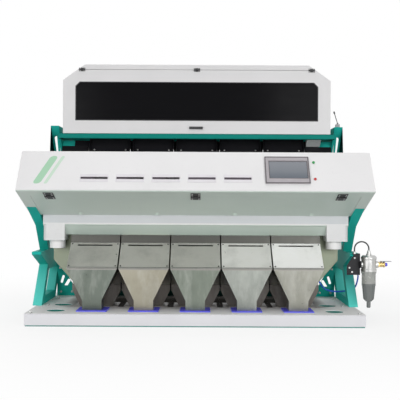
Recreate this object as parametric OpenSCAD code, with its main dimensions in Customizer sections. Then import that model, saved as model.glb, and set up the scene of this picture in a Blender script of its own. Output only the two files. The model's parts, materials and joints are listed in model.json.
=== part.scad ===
// Optical colour sorter with five chutes.
// Millimetres, +Z up, front towards -Y. Origin on the floor under the middle of the base.

/* [Base] */
// Width of the white base plinth
base_w = 2240; // [2200:10:2280]
// Depth of the base plinth
base_d = 1500; // [1440:10:1560]
// Height of the plinth's top above the floor
base_h = 85; // [75:1:95]
// Gap under the plinth's skirt where the underframe shows
skirt_gap = 8; // [5:1:15]
// Sheet thickness of the plinth
base_t = 4; // [3:0.5:6]
// Flange width of the underframe channels
rail_w = 60; // [45:1:75]
// Radius of the round duct holes in the base
duct_hole_r = 61; // [50:1:70]

/* [Side frames] */
// Inset of the side frames' webs from the base's ends
frame_inset = 39; // [30:1:42]
// Width of a side frame's flange
frame_w = 65; // [55:1:70]
// Plate thickness of the side frames
frame_t = 5; // [4:0.5:8]

/* [Lanes] */
// Distance between two neighbouring chutes
pitch = 347; // [335:1:350]
// Slope of the chutes
chute_angle = 60; // [59:0.5:61]
// Clear width of one chute
chute_w = 318; // [300:1:326]
// Height of the chute's side walls
chute_wall = 40; // [30:1:45]
// Sheet thickness of chutes, trays and hoppers
sheet = 3; // [2:0.5:4]

/* [Console] */
// Width of the console
console_w = 2300; // [2296:1:2320]
// Forward reach of the console's nose
nose_y = 884; // [870:1:900]
// Height of the console's nose
nose_z = 890; // [880:1:900]
// Radius of the nose
nose_r = 12; // [6:1:20]
// Height of the console's top
console_top_z = 1152; // [1130:1:1180]
// Sheet thickness of console and hood
skin = 3; // [2:0.5:4]
// Gap round the underside door
door_gap = 1; // [0.6:0.1:2]

/* [Controls] */
// Width of the touch screen's bezel
bezel_w = 289; // [260:1:310]
// Height of the bezel along the fascia
bezel_h = 220; // [200:1:230]
// Radius of the push buttons
button_r = 9; // [7:0.5:12]
// Clearance round a push button
button_gap = 0.3; // [0.25:0.05:0.4]
// Width of a slot trim
slot_w = 179; // [160:1:200]

/* [Hood] */
// Width of the top hood
hood_w = 2082; // [2060:1:2100]
// Front face of the hood's door
hood_y = 220; // [215:1:240]
// Back of the hood
hood_back = 800; // [790:1:830]
// Lower edge of the hood
hood_z0 = 1347; // [1340:1:1355]
// Top of the hood
hood_z1 = 1885; // [1870:1:1900]
// Thickness of the hood's front door
door_t = 25; // [18:1:30]

/* [Hoppers] */
// Width of a front spout
spout_w = 131; // [115:1:140]
// Width of a rear spout
rear_spout_w = 232; // [215:1:240]
// Thickness of the blue spout seals
seal_t = 7; // [5:0.5:10]
// Rim of a seal beyond its spout
seal_rim = 36; // [20:1:40]

/* [Air unit] */
// Outer radius of the air filter
filter_r = 54; // [48:1:56]
// Length of the ball valve's lever
lever_l = 70; // [60:1:90]

/* [Hidden] */
$fn = 48;
lanes = 5;
frame_in = base_w / 2 - frame_inset;

// Colours
white = [0.93, 0.94, 0.93];
pale_green = [0.82, 0.89, 0.85];
green = [0.05, 0.62, 0.49];
steel = [0.72, 0.70, 0.66];
black = [0.08, 0.08, 0.09];
grey = [0.55, 0.56, 0.58];
blue = [0.25, 0.28, 0.80];
brass = [0.75, 0.62, 0.30];

function unit(v) = v / norm(v);
function cross2(a, b) = a[0] * b[1] - a[1] * b[0];
function meet(p, u, q, v) = p + u * (cross2(q - p, v) / cross2(u, v));
function left(u) = [-u[1], u[0]];

// A closed counter-clockwise outline moved inwards by d
function inset(p, d) = [
    for (i = [0 : len(p) - 1])
        let (b = p[i],
             u = unit(b - p[(i + len(p) - 1) % len(p)]),
             v = unit(p[(i + 1) % len(p)] - b))
        meet(b + left(u) * d, u, b + left(v) * d, v)
];

// Points of a round corner of radius r at b, between a and c
function fillet(a, b, c, r, n = 6) =
    let (u = unit(a - b),
         v = unit(c - b),
         half = acos(u * v) / 2,
         o = b + unit(u + v) * r / sin(half),
         p = b + u * r / tan(half) - o,
         q = b + v * r / tan(half) - o,
         a0 = atan2(p[1], p[0]),
         turn = (atan2(q[1], q[0]) - a0 + 540) % 360 - 180)
    [for (i = [0 : n]) o + r * [cos(a0 + turn * i / n), sin(a0 + turn * i / n)]];

// A profile drawn in Y and Z, extruded along X about the middle
module across(w) {
    rotate([90, 0, 90])
        linear_extrude(w, center = true)
            children();
}

// A profile drawn in X and Z, extruded from y0 to y1
module along(y0, y1) {
    translate([0, y1, 0])
        rotate([90, 0, 0])
            linear_extrude(y1 - y0)
                children();
}

// A box from its low and high corners
module block(low, high) {
    translate(low)
        cube(high - low);
}

// Both sides of the machine
module both_sides() {
    children();
    mirror([1, 0, 0])
        children();
}

function lane_x(i) = (i - (lanes - 1) / 2) * pitch;
row_w = lanes * pitch;

// Places on the console
console_top_y = -690;
under_y = -414;
under_z = 726;
nose = [-nose_y, nose_z];
fascia_top = [console_top_y, console_top_z];
fascia_angle = atan2(fascia_top[1] - nose[1], fascia_top[0] - nose[0]);
under_end = [under_y, under_z];
under_angle = atan2(under_end[1] - nose[1], under_end[0] - nose[0]);
under_len = norm(under_end - nose);
seam_v = 100;
access_w = 2 * frame_in - 12;
access_v0 = seam_v + door_gap;
access_v1 = under_len - 8;
access_flange = 14;

// Chute line: the sliding face passes through this point
chute_y = 440;
chute_z = 1300;
chute_exit_z = 900;
chute_top_z = 1440;
function chute_at(z) = chute_y + (z - chute_z) / tan(chute_angle);
chute_exit = [chute_at(chute_exit_z), chute_exit_z];
chute_len = (chute_top_z - chute_exit_z) / sin(chute_angle);
front_view_gap = 208;
rear_view_gap = 170;

// A frame at the chute's exit: Y runs up the chute, Z towards the front
module on_chute() {
    translate([0, chute_exit[0], chute_exit[1]])
        rotate([chute_angle, 0, 0])
            children();
}
function chute_point(s, n) =
    chute_exit + s * [cos(chute_angle), sin(chute_angle)] + n * [-sin(chute_angle), cos(chute_angle)];

// A frame on the fascia: Y runs up the slope from the nose, Z outwards
module on_fascia() {
    translate([0, nose[0], nose[1]])
        rotate([fascia_angle, 0, 0])
            children();
}

// A frame on the underside: Y runs back from the nose, Z into the console
module on_underside() {
    translate([0, nose[0], nose[1]])
        rotate([under_angle, 0, 0])
            children();
}

// Base and underframe
front_spout_y0 = -618;
front_spout_y1 = -488;
rear_spout_y0 = -380;
rear_spout_y1 = -245;
deck_gap = 0.4;
outlet_in = 3;
duct_hole_in = 180;
duct_hole_y = [-590, -290];
end_plate_w = 310;
rail_in = 1;

module spout_cut(y0, y1, w, z0, z1) {
    for (i = [0 : lanes - 1])
        block([lane_x(i) - w / 2 + outlet_in, y0 + outlet_in, z0],
              [lane_x(i) + w / 2 - outlet_in, y1 - outlet_in, z1]);
}

module ring(w, d, band, z0, z1) {
    difference() {
        block([-w / 2, -d / 2, z0], [w / 2, d / 2, z1]);
        block([-w / 2 + band, -d / 2 + band, z0 - 1], [w / 2 - band, d / 2 - band, z1 + 1]);
    }
}

module base_frame() {
    w = base_w - 2 * base_t - 2 * rail_in;
    d = base_d - 2 * base_t - 2 * rail_in;
    color(green)
        union() {
            ring(w, d, frame_t, 0, base_h - base_t);
            ring(w, d, rail_w, 0, frame_t);
            ring(w, d, rail_w, base_h - base_t - frame_t, base_h - base_t);
            both_sides()
                block([base_w / 2 - end_plate_w, -d / 2 + rail_w + deck_gap, base_h - base_t - frame_t],
                      [w / 2 - rail_w - deck_gap, -frame_t / 2 - deck_gap, base_h - base_t]);
            block([-w / 2 + 1, -rail_w / 2, 0], [w / 2 - 1, rail_w / 2, frame_t]);
            block([-w / 2 + 1, -frame_t / 2, 0], [w / 2 - 1, frame_t / 2, base_h - base_t]);
        }
}

// Plinth: a skirt under a deck of panels, one in front and one behind for each lane and one at each end
module base_plinth() {
    split_y = (front_spout_y1 + rear_spout_y0) / 2;
    low = base_h - base_t - 1;
    color(white) {
        ring(base_w, base_d, base_t, skirt_gap, base_h - base_t - deck_gap);
        difference() {
            block([-base_w / 2, -base_d / 2, base_h - base_t], [base_w / 2, base_d / 2, base_h]);
            for (i = [0 : lanes])
                block([lane_x(i) - pitch / 2 - deck_gap / 2, -base_d, low],
                      [lane_x(i) - pitch / 2 + deck_gap / 2, base_d, base_h + 1]);
            block([-row_w / 2, split_y - deck_gap / 2, low], [row_w / 2, split_y + deck_gap / 2, base_h + 1]);
            spout_cut(front_spout_y0, front_spout_y1, spout_w, low, base_h + 1);
            spout_cut(rear_spout_y0, rear_spout_y1, rear_spout_w, low, base_h + 1);
            both_sides()
                for (y = duct_hole_y)
                    translate([base_w / 2 - duct_hole_in, y, low])
                        cylinder(h = base_t + 2, r = duct_hole_r);
        }
    }
}

// Side frames: a flat web on the inner side with a flange all round
fin_z = 466;
fin_tip_y = -397;
fin_nose = 20;
frame_outline = [
    [-364, base_h], [163, base_h], [420, 400], [700, 620], [700, 950], [620, 1221], [520, 1412],
    [274, 1412], [434, 1221], [200, 900], [-110, under_z], under_end,
    nose + (under_end - nose) * 0.66, [-280, 648], [-123, fin_z], [fin_tip_y, fin_z],
    [fin_tip_y, fin_z - fin_nose], [-137, 358]
];
frame_windows = [
    [[-245, 140], [125, 140], [270, 320], [-95, 320]],
    [[-70, 490], [230, 490], [230, 590], [-150, 590]],
    [[380, 1000], [620, 1000], [575, 1180], [500, 1180]]
];

// Arched slot through the flanges of the ear
ear_slot = [14, 47];
ear_slot_z = [1150, 1335];

module frame_shape() {
    difference() {
        polygon(frame_outline);
        for (w = frame_windows)
            polygon(w);
    }
}

module side_frame() {
    slot_mid = (ear_slot[0] + ear_slot[1]) / 2;
    slot_r = (ear_slot[1] - ear_slot[0]) / 2;
    translate([frame_in, 0, 0])
        difference() {
            rotate([90, 0, 90]) {
                linear_extrude(frame_t)
                    frame_shape();
                linear_extrude(frame_w)
                    difference() {
                        polygon(frame_outline);
                        polygon(inset(frame_outline, frame_t));
                    }
                for (w = frame_windows)
                    linear_extrude(frame_w)
                        difference() {
                            polygon(inset(w, -frame_t));
                            polygon(w);
                        }
            }
            block([ear_slot[0], 0, ear_slot_z[0]], [ear_slot[1], hood_back, ear_slot_z[1] - slot_r]);
            translate([slot_mid, hood_back, ear_slot_z[1] - slot_r])
                rotate([90, 0, 0])
                    cylinder(h = hood_back, r = slot_r);
        }
}

module side_frame_left() {
    color(green)
        mirror([1, 0, 0])
            side_frame();
}

module side_frame_right() {
    color(green)
        side_frame();
}

// Top frame: a ring of channel that carries the hood
beam_h = 35;
beam_w = 60;
beam_t = 4;
top_mid_y = (hood_y + hood_back) / 2;
top_d = hood_back - hood_y;

module top_frame() {
    color(green)
        translate([0, top_mid_y, 0])
            difference() {
                ring(2 * frame_in, top_d, beam_w, hood_z0 - beam_h, hood_z0);
                ring(2 * frame_in - 2 * beam_t, top_d - 2 * beam_t, beam_w - 2 * beam_t,
                     hood_z0 - beam_h - 1, hood_z0 - beam_t);
            }
}

// Cross beams: feeder beam, two chute beams and the angle on the base
feeder_beam_y = [640, 740];
chute_beam_s = [70, 424];
chute_beam = 50;
angle_y = 240;
angle_h = 78;
angle_foot = 60;

module tube_beam(w, y0, y1, z0, z1, t) {
    difference() {
        block([-w / 2, y0, z0], [w / 2, y1, z1]);
        block([-w / 2 - 1, y0 + t, z0 + t], [w / 2 + 1, y1 - t, z1 - t]);
    }
}

module cross_beams() {
    color(green) {
        tube_beam(2 * (frame_in - beam_w), feeder_beam_y[0], feeder_beam_y[1],
                  hood_z0 - beam_h, hood_z0, beam_t);
        on_chute()
            for (s = chute_beam_s)
                tube_beam(2 * frame_in, s, s + chute_beam, -chute_beam - sheet, -sheet, beam_t);
        block([-frame_in, angle_y, base_h], [frame_in, angle_y + frame_t, base_h + angle_h]);
        block([-frame_in, angle_y + frame_t, base_h], [frame_in, angle_y + angle_foot, base_h + frame_t]);
    }
}

// Console: sheet box with a sloped fascia, closed ends and an opening below
back_top = chute_point(0, front_view_gap) + (console_top_z - chute_point(0, front_view_gap)[1])
    * [1 / tan(chute_angle), 1];
back_low = chute_point(0, front_view_gap) + (under_z - chute_point(0, front_view_gap)[1])
    * [1 / tan(chute_angle), 1];
console_outline = concat(
    fillet(fascia_top, nose, under_end, nose_r),
    [under_end, back_low, back_top, fascia_top]
);
glass_s0 = -125;
glass_s1 = 25;
glass_w = row_w + 20;
glass_t = 6;
glass_lap = 15;
glass_tape = 0.2;

// Places on the fascia, measured up the slope from the nose
slot_v = 103;
slot_h = 22;
slot_mid_x = -191;
slot_step = 232;
slot_recess_h = 64;
bezel_v = 61;
bezel_x = 450;
bezel_t = 10;
screen_low = [479, 103];
screen_high = [725, 243];
button_x = 771;
button_v = [100, 238];
button_travel = 3;
collar_rim = 4;
collar_t = 3;

function slot_x(i) = slot_mid_x + (i - 2) * slot_step;

module console_shell() {
    color(white)
        difference() {
            across(console_w)
                polygon(console_outline);
            across(console_w - 2 * skin)
                polygon(inset(console_outline, skin));
            on_underside()
                block([-access_w / 2 - door_gap, seam_v, -skin],
                      [access_w / 2 + door_gap, access_v1 + door_gap, 2 * skin]);
            on_chute()
                block([-glass_w / 2 + glass_lap, glass_s0 + glass_lap, front_view_gap - 1],
                      [glass_w / 2 - glass_lap, glass_s1 - glass_lap, front_view_gap + 2 * skin]);
            on_fascia() {
                for (i = [0 : lanes - 1])
                    block([slot_x(i) - slot_w / 2, slot_v - slot_h / 2, -2 * skin],
                          [slot_x(i) + slot_w / 2, slot_v + slot_h / 2, skin]);
                block([screen_low[0], screen_low[1], -2 * skin], [screen_high[0], screen_high[1], skin]);
                for (v = button_v)
                    translate([button_x, v, -2 * skin])
                        cylinder(h = 3 * skin, r = button_r + button_gap);
            }
        }
}

// Slot trims: shallow dished frames round the five slots
trim_t = 2;
trim_depth = 12;

module slot_trims() {
    color(grey)
        on_fascia()
            for (i = [0 : lanes - 1])
                translate([slot_x(i), slot_v, 0])
                    difference() {
                        union() {
                            block([-slot_w / 2 - trim_t, -slot_recess_h / 2, 0],
                                  [slot_w / 2 + trim_t, slot_recess_h / 2, trim_t]);
                            block([-slot_w / 2, -slot_h / 2, -trim_depth], [slot_w / 2, slot_h / 2, trim_t]);
                        }
                        block([-slot_w / 2 + trim_t, -slot_h / 2 + trim_t, -trim_depth + trim_t],
                              [slot_w / 2 - trim_t, slot_h / 2 - trim_t, trim_t + 1]);
                    }
}

module screen_bezel() {
    color(grey)
        on_fascia()
            difference() {
                block([bezel_x, bezel_v, 0], [bezel_x + bezel_w, bezel_v + bezel_h, bezel_t]);
                block([screen_low[0], screen_low[1], -1], [screen_high[0], screen_high[1], bezel_t + 1]);
            }
}

module screen_glass() {
    color([0.45, 0.52, 0.60])
        on_fascia()
            block([screen_low[0], screen_low[1], 0], [screen_high[0], screen_high[1], bezel_t - 3]);
}

module button_collars() {
    color(white)
        on_fascia()
            for (v = button_v)
                translate([button_x, v, 0])
                    difference() {
                        cylinder(h = collar_t, r = button_r + button_gap + collar_rim);
                        translate([0, 0, -1])
                            cylinder(h = collar_t + 2, r = button_r + button_gap);
                    }
}

module push_button(v) {
    on_fascia()
        translate([button_x, v, -2 * skin]) {
            cylinder(h = 2 * skin + collar_t + button_travel + 1, r = button_r);
            translate([0, 0, 2 * skin + collar_t + button_travel + 1])
                cylinder(h = 1.5, r1 = button_r, r2 = button_r - 1.5);
        }
}

module green_button() {
    color([0.05, 0.65, 0.25])
        push_button(button_v[1]);
}

module red_button() {
    color([0.80, 0.10, 0.10])
        push_button(button_v[0]);
}

// Hinges: a fixed half with the pin, and a moving half with the middle knuckle
hinge_in = 125;
hinge_x = [-1, 0, 1] * (access_w / 2 - hinge_in);
leaf_t = 3;
knuckle_r = 5;
pin_r = 2.5;
pin_gap = 0.05;
knuckle_gap = 0.5;
access_hinge_w = 64;
access_leaf = 60;
access_axis_z = -6;
top_hinge_in = 148;
top_hinge_x = [-1, 0, 1] * (hood_w / 2 - top_hinge_in);
top_hinge_w = 48;
top_leaf = 14;
seam_z = 1845;
top_axis_y = hood_y - 6;

// Drawn with the pin along X at the origin and the leaf at local Y from -reach to -clear
module fixed_half(w, reach, clear, leaf_z) {
    third = w / 3;
    for (s = [-1, 1])
        translate([s * (w - third) / 2, 0, 0]) {
            rotate([0, 90, 0])
                cylinder(h = third - knuckle_gap, r = knuckle_r, center = true);
            block([-third / 2 + knuckle_gap / 2, -clear - 1, leaf_z],
                  [third / 2 - knuckle_gap / 2, 0, leaf_z + leaf_t]);
        }
    block([-w / 2, -reach, leaf_z], [w / 2, -clear, leaf_z + leaf_t]);
    rotate([0, 90, 0])
        cylinder(h = w - 1, r = pin_r, center = true);
}

module moving_half(w, reach, clear, leaf_z) {
    third = w / 3;
    difference() {
        union() {
            rotate([0, 90, 0])
                cylinder(h = third - knuckle_gap, r = knuckle_r, center = true);
            block([-third / 2 + knuckle_gap / 2, 0, leaf_z],
                  [third / 2 - knuckle_gap / 2, clear + 1, leaf_z + leaf_t]);
        }
        rotate([0, 90, 0])
            cylinder(h = w, r = pin_r + pin_gap, center = true);
    }
    block([-w / 2, clear, leaf_z], [w / 2, reach, leaf_z + leaf_t]);
}

hinge_clear = 5.5;

module on_access_axis() {
    on_underside()
        translate([0, seam_v, access_axis_z])
            children();
}

// The top hinges' frame: local Y points down the door, local Z backwards
module on_top_axis() {
    translate([0, top_axis_y, seam_z])
        rotate([-90, 0, 0])
            children();
}

module hinge_mounts() {
    color(black) {
        on_access_axis()
            for (x = hinge_x)
                translate([x, 0, 0])
                    fixed_half(access_hinge_w, access_leaf, hinge_clear, -access_axis_z - leaf_t);
        on_top_axis()
            for (x = top_hinge_x)
                translate([x, 0, 0])
                    fixed_half(top_hinge_w, top_leaf, hinge_clear, hood_y - top_axis_y - leaf_t);
    }
}

module access_hinge_leaves() {
    color(black)
        on_access_axis()
            for (x = hinge_x)
                translate([x, 0, 0])
                    moving_half(access_hinge_w, access_leaf, hinge_clear, -access_axis_z - leaf_t);
}

module top_hinge_leaves() {
    color(black)
        on_top_axis()
            for (x = top_hinge_x)
                translate([x, 0, 0])
                    moving_half(top_hinge_w, top_leaf, hinge_clear, hood_y - top_axis_y - leaf_t);
}

// Underside door: a sheet pan with return flanges
module access_door() {
    color(pale_green)
        on_underside()
            difference() {
                block([-access_w / 2, access_v0, 0], [access_w / 2, access_v1, access_flange]);
                block([-access_w / 2 + skin, access_v0 + skin, skin],
                      [access_w / 2 - skin, access_v1 - skin, access_flange + 1]);
            }
}

// Dust duct: a cross channel under the console with a block at each end
duct_end_gap = 17;
duct_w = 2 * (frame_in - duct_end_gap);
duct_front_z = 653;
duct_low_z = 587;
duct_set_y = -398;
duct_low_y = -348;
duct_back_y = -250;
duct_r = 12;
end_block_in = duct_w / 2 - 150;
end_block_z0 = 548;
end_block_z1 = 667;
end_block_r = 30;
port_r = 55;
port_wall = 3;
port_x = duct_w / 2 - 89;
port_y = -332;
port_z0 = 492;
duct_outline = concat(
    fillet([under_y, under_z], [under_y, duct_front_z], [duct_set_y, duct_front_z], duct_r),
    [[duct_set_y, duct_front_z], [duct_low_y, duct_low_z], [duct_back_y, duct_low_z],
     [duct_back_y, under_z], [under_y, under_z]]
);
block_outline = concat(
    [[end_block_in, under_y]],
    fillet([end_block_in, under_y], [duct_w / 2, under_y], [duct_w / 2, duct_back_y], end_block_r),
    [[duct_w / 2, duct_back_y], [end_block_in, duct_back_y]]
);

module dust_duct() {
    color(white)
        difference() {
            union() {
                across(duct_w)
                    polygon(duct_outline);
                both_sides()
                    translate([0, 0, end_block_z0])
                        linear_extrude(end_block_z1 - end_block_z0)
                            polygon(block_outline);
            }
            across(duct_w - 2 * skin)
                polygon(inset(duct_outline, skin));
            both_sides() {
                translate([0, 0, end_block_z0 + skin])
                    linear_extrude(end_block_z1 - end_block_z0 - skin)
                        polygon(inset(block_outline, skin));
                translate([port_x, port_y, end_block_z0 - 1])
                    cylinder(h = 2 * skin, r = port_r - port_wall);
            }
        }
}

module dust_ports() {
    color(white)
        both_sides()
            translate([port_x, port_y, port_z0])
                difference() {
                    cylinder(h = end_block_z0 - port_z0, r = port_r);
                    translate([0, 0, -1])
                        cylinder(h = end_block_z0 - port_z0 + 2, r = port_r - port_wall);
                }
}

// Front hoppers: flapped chamber, funnel and spout
lane_gap = 8;
hop_w = pitch - lane_gap;
fold = [-630, 372];
flap_top = [-443, 532];
hop_front_top = [-430, duct_low_z];
floor_top = [20, duct_low_z];
kink_z = 158;
kink_y0 = -624;
kink_y1 = -488;
spout_z0 = base_h + seal_t;
floor_y_at_fold = floor_top[0] - (floor_top[1] - fold[1]) / (floor_top[1] - kink_z) * (floor_top[0] - kink_y1);
floor_at_fold = [floor_y_at_fold, fold[1]];
hop_outline = [fold, floor_at_fold, floor_top, hop_front_top, flap_top];
// The inside reaches down to the fold, where the funnel goes on
function lowered(p, q) = p - (q - p) * sheet / (q - p)[1];
hop_inside = inset(
    [lowered(fold, flap_top), lowered(floor_at_fold, floor_top), floor_top, hop_front_top, flap_top], sheet);
entry_y = [-110, 10];
flap_rim = 14;

// A solid between a level rectangle at z0 and another below it at z1; a rectangle is [width, low y, high y]
module loft(r0, z0, r1, z1) {
    polyhedron(
        points = [
            for (e = [[r0, z0], [r1, z1]])
                for (c = [[-1, 1], [1, 1], [1, 2], [-1, 2]])
                    [c[0] * e[0][0] / 2, e[0][c[1]], e[1]]
        ],
        faces = [[3, 2, 1, 0], [4, 5, 6, 7], [0, 1, 5, 4], [1, 2, 6, 5], [2, 3, 7, 6], [3, 0, 4, 7]]
    );
}

flap_dir = unit(flap_top - fold);
flap_angle = atan2(flap_dir[1], flap_dir[0]);
flap_len = norm(flap_top - fold);

// A frame on the flap: Y runs up the flap from the fold, Z outwards
module on_flap(i) {
    translate([lane_x(i), fold[0], fold[1]])
        rotate([flap_angle, 0, 0])
            children();
}

// Funnel and spout below the fold, thinner by in on each side
module funnel(top, in, drop) {
    neck = [spout_w - 2 * in, kink_y0 + in, kink_y1 - in];
    loft(top, fold[1], neck, kink_z);
    loft(neck, kink_z, [spout_w - 2 * in, front_spout_y0 + in, front_spout_y1 - in], spout_z0 - drop);
}

module front_hopper() {
    difference() {
        union() {
            across(hop_w)
                polygon(hop_outline);
            funnel([hop_w, fold[0], floor_y_at_fold], 0, 0);
        }
        across(hop_w - 2 * sheet)
            polygon(hop_inside);
        funnel([hop_w - 2 * sheet, hop_inside[0][0], hop_inside[1][0]], sheet, 1);
        block([-hop_w / 2 + flap_rim, entry_y[0], duct_low_z - 2 * sheet],
              [hop_w / 2 - flap_rim, entry_y[1], duct_low_z + 1]);
        translate([-lane_x(0), 0, 0])
            on_flap(0)
                block([-hop_w / 2 + flap_rim, flap_rim, -2 * sheet],
                      [hop_w / 2 - flap_rim, flap_len - flap_rim, sheet]);
    }
}

module front_hoppers() {
    color(steel)
        for (i = [0 : lanes - 1])
            translate([lane_x(i), 0, 0])
                front_hopper();
}

// Inspection flap: a plate on the hopper's front with a finger slot, hinged at the fold
flap_gap = 0.3;
bead_r = 4;
bead_z = 6;
side_gap = 1;
finger_w = 240;
finger_h = 14;
finger_v = 17;

module flap(i) {
    w = hop_w - 2 * side_gap;
    color(steel)
        on_flap(i)
            difference() {
                union() {
                    block([-w / 2, 0, flap_gap], [w / 2, flap_len, flap_gap + sheet]);
                    translate([0, 0, bead_z])
                        rotate([0, 90, 0])
                            cylinder(h = w, r = bead_r, center = true);
                }
                block([-finger_w / 2, flap_len - finger_v - finger_h, -1],
                      [finger_w / 2, flap_len - finger_v, flap_gap + sheet + 1]);
            }
}

module flap_1() { flap(0); }
module flap_2() { flap(1); }
module flap_3() { flap(2); }
module flap_4() { flap(3); }
module flap_5() { flap(4); }

// Rear hoppers: under the front hoppers' sloped floor
rear_step = 12;
rear_back_top = 190;
rear_fold_z = 200;
floor_slope = (floor_top[1] - kink_z) / (floor_top[0] - kink_y1);
rear_outline = [
    [rear_spout_y0, rear_fold_z], [rear_spout_y1, rear_fold_z], [rear_back_top, duct_low_z],
    [floor_top[0] + rear_step, duct_low_z],
    [rear_spout_y0, duct_low_z - (floor_top[0] + rear_step - rear_spout_y0) * floor_slope]
];

rear_inside = inset(
    concat([[rear_spout_y0, rear_fold_z - sheet], lowered(rear_outline[1], rear_outline[2])],
           [for (i = [2 : 4]) rear_outline[i]]), sheet);

module rear_funnel(top, in, drop) {
    loft(top, rear_fold_z, [rear_spout_w - 2 * in, rear_spout_y0 + in, rear_spout_y1 - in], spout_z0 - drop);
}

module rear_hoppers() {
    color(steel)
        for (i = [0 : lanes - 1])
            translate([lane_x(i), 0, 0])
                difference() {
                    union() {
                        across(hop_w)
                            polygon(rear_outline);
                        rear_funnel([hop_w, rear_spout_y0, rear_spout_y1], 0, 0);
                    }
                    across(hop_w - 2 * sheet)
                        polygon(rear_inside);
                    rear_funnel([hop_w - 2 * sheet, rear_inside[0][0], rear_inside[1][0]], sheet, 1);
                    block([-hop_w / 2 + sheet, floor_top[0] + rear_step + 2 * sheet, duct_low_z - 2 * sheet],
                          [hop_w / 2 - sheet, rear_back_top - 2 * sheet, duct_low_z + 1]);
                }
}

module seal(x, y0, y1, w) {
    difference() {
        block([x - w / 2 - seal_rim, y0 - seal_rim, base_h], [x + w / 2 + seal_rim, y1 + seal_rim, spout_z0]);
        block([x - w / 2 + outlet_in, y0 + outlet_in, base_h - 1],
              [x + w / 2 - outlet_in, y1 - outlet_in, spout_z0 + 1]);
    }
}

module spout_seals() {
    color(blue)
        for (i = [0 : lanes - 1]) {
            seal(lane_x(i), front_spout_y0, front_spout_y1, spout_w);
            seal(lane_x(i), rear_spout_y0, rear_spout_y1, rear_spout_w);
        }
}

// End deflectors: sheets on the end hoppers' sides with a sloped lower edge
deflector_y = -240;
deflector_w = 158;
deflector_z = [380, 402];

module end_deflectors() {
    color(steel)
        both_sides()
            translate([(row_w - lane_gap) / 2, 0, 0])
                along(deflector_y, deflector_y + sheet)
                    polygon([
                        [0, deflector_z[0] - deflector_w], [deflector_w, deflector_z[1]],
                        [deflector_w, duct_low_z], [0, duct_low_z]
                    ]);
}

// Hood: shell with chamfered shoulders, open below and in front, with a feed inlet on top
shoulder_w = 169;
shoulder_h = 121;
inlet_x = 840;
inlet_y = [560, 770];
collar_h = 25;
door_seat = 2;
hood_outline = [
    [-hood_w / 2, hood_z0], [hood_w / 2, hood_z0], [hood_w / 2, hood_z1 - shoulder_h],
    [hood_w / 2 - shoulder_w, hood_z1], [-hood_w / 2 + shoulder_w, hood_z1],
    [-hood_w / 2, hood_z1 - shoulder_h]
];
gate_y = 640;
gate_z = 1545;
gate_shaft_r = 10;
shaft_gap = 0.05;

module hood() {
    color(white)
        difference() {
            union() {
                difference() {
                    along(hood_y, hood_back)
                        polygon(hood_outline);
                    along(hood_y - 1, hood_back - skin)
                        polygon(inset(hood_outline, skin));
                    block([-hood_w, hood_y + door_t + door_seat, hood_z0 - 1],
                          [hood_w, hood_back - skin, hood_z0 + skin + 1]);
                    block([-hood_w, hood_y - 1, hood_z0 - 1],
                          [hood_w, hood_y + door_t + door_seat, seam_z + door_seat]);
                }
                along(hood_y, hood_y + skin)
                    intersection() {
                        polygon(hood_outline);
                        translate([-hood_w, seam_z + door_seat])
                            square([2 * hood_w, hood_z1]);
                    }
                block([-inlet_x - skin, inlet_y[0] - skin, hood_z1 - skin],
                      [inlet_x + skin, inlet_y[1] + skin, hood_z1 + collar_h]);
            }
            block([-inlet_x, inlet_y[0], hood_z1 - 2 * skin], [inlet_x, inlet_y[1], hood_z1 + collar_h + 1]);
            for (s = [-1, 1])
                translate([s * hood_w / 2, gate_y, gate_z])
                    rotate([0, 90, 0])
                        cylinder(h = 4 * skin, r = gate_shaft_r + shaft_gap, center = true);
        }
}

// Front door of the hood with its window
window_side = 102;
window_x = hood_w / 2 - window_side;
window_z = [1455, 1745];
window_cut = 31;
window_lap = 12;
window_t = 6;
seam_half = hood_w / 2 - shoulder_w * (seam_z - (hood_z1 - shoulder_h)) / shoulder_h;
door_outline = [
    [-hood_w / 2, hood_z0 + door_seat], [hood_w / 2, hood_z0 + door_seat],
    [hood_w / 2, hood_z1 - shoulder_h], [seam_half, seam_z], [-seam_half, seam_z],
    [-hood_w / 2, hood_z1 - shoulder_h]
];
window_outline = [
    [-window_x, window_z[0]], [window_x, window_z[0]], [window_x, window_z[1] - window_cut],
    [window_x - window_cut, window_z[1]], [-window_x + window_cut, window_z[1]],
    [-window_x, window_z[1] - window_cut]
];

module top_door() {
    color(white)
        difference() {
            along(hood_y, hood_y + door_t)
                polygon(door_outline);
            along(hood_y + skin, hood_y + door_t + 1)
                polygon(inset(door_outline, skin));
            along(hood_y - 1, hood_y + door_t)
                polygon(window_outline);
        }
}

module door_window() {
    color(black)
        along(hood_y + skin, hood_y + skin + window_t)
            polygon(inset(window_outline, -window_lap));
}

handle_x = -5;
handle_z = 1394;
handle_w = 106;
handle_h = 20;
handle_d = 14;
handle_wall = 4;

module door_handle() {
    color(black)
        difference() {
            block([handle_x - handle_w / 2, hood_y - handle_d, handle_z - handle_h / 2],
                  [handle_x + handle_w / 2, hood_y, handle_z + handle_h / 2]);
            block([handle_x - handle_w / 2 + handle_wall, hood_y - handle_d + handle_wall,
                   handle_z - handle_h / 2 - 1],
                  [handle_x + handle_w / 2 - handle_wall, hood_y + 1, handle_z + handle_h / 2 - handle_wall]);
        }
}

// Feed bin: an open trough under the inlet, divided into lanes
bin_front = 545;
bin_back = 780;
bin_knee_z = 1720;
bin_low_y = 655;
bin_z0 = 1570;
bin_outline = [
    [bin_low_y, bin_z0], [bin_back, bin_z0], [bin_back, hood_z1 - skin], [bin_front, hood_z1 - skin],
    [bin_front, bin_knee_z]
];

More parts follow.
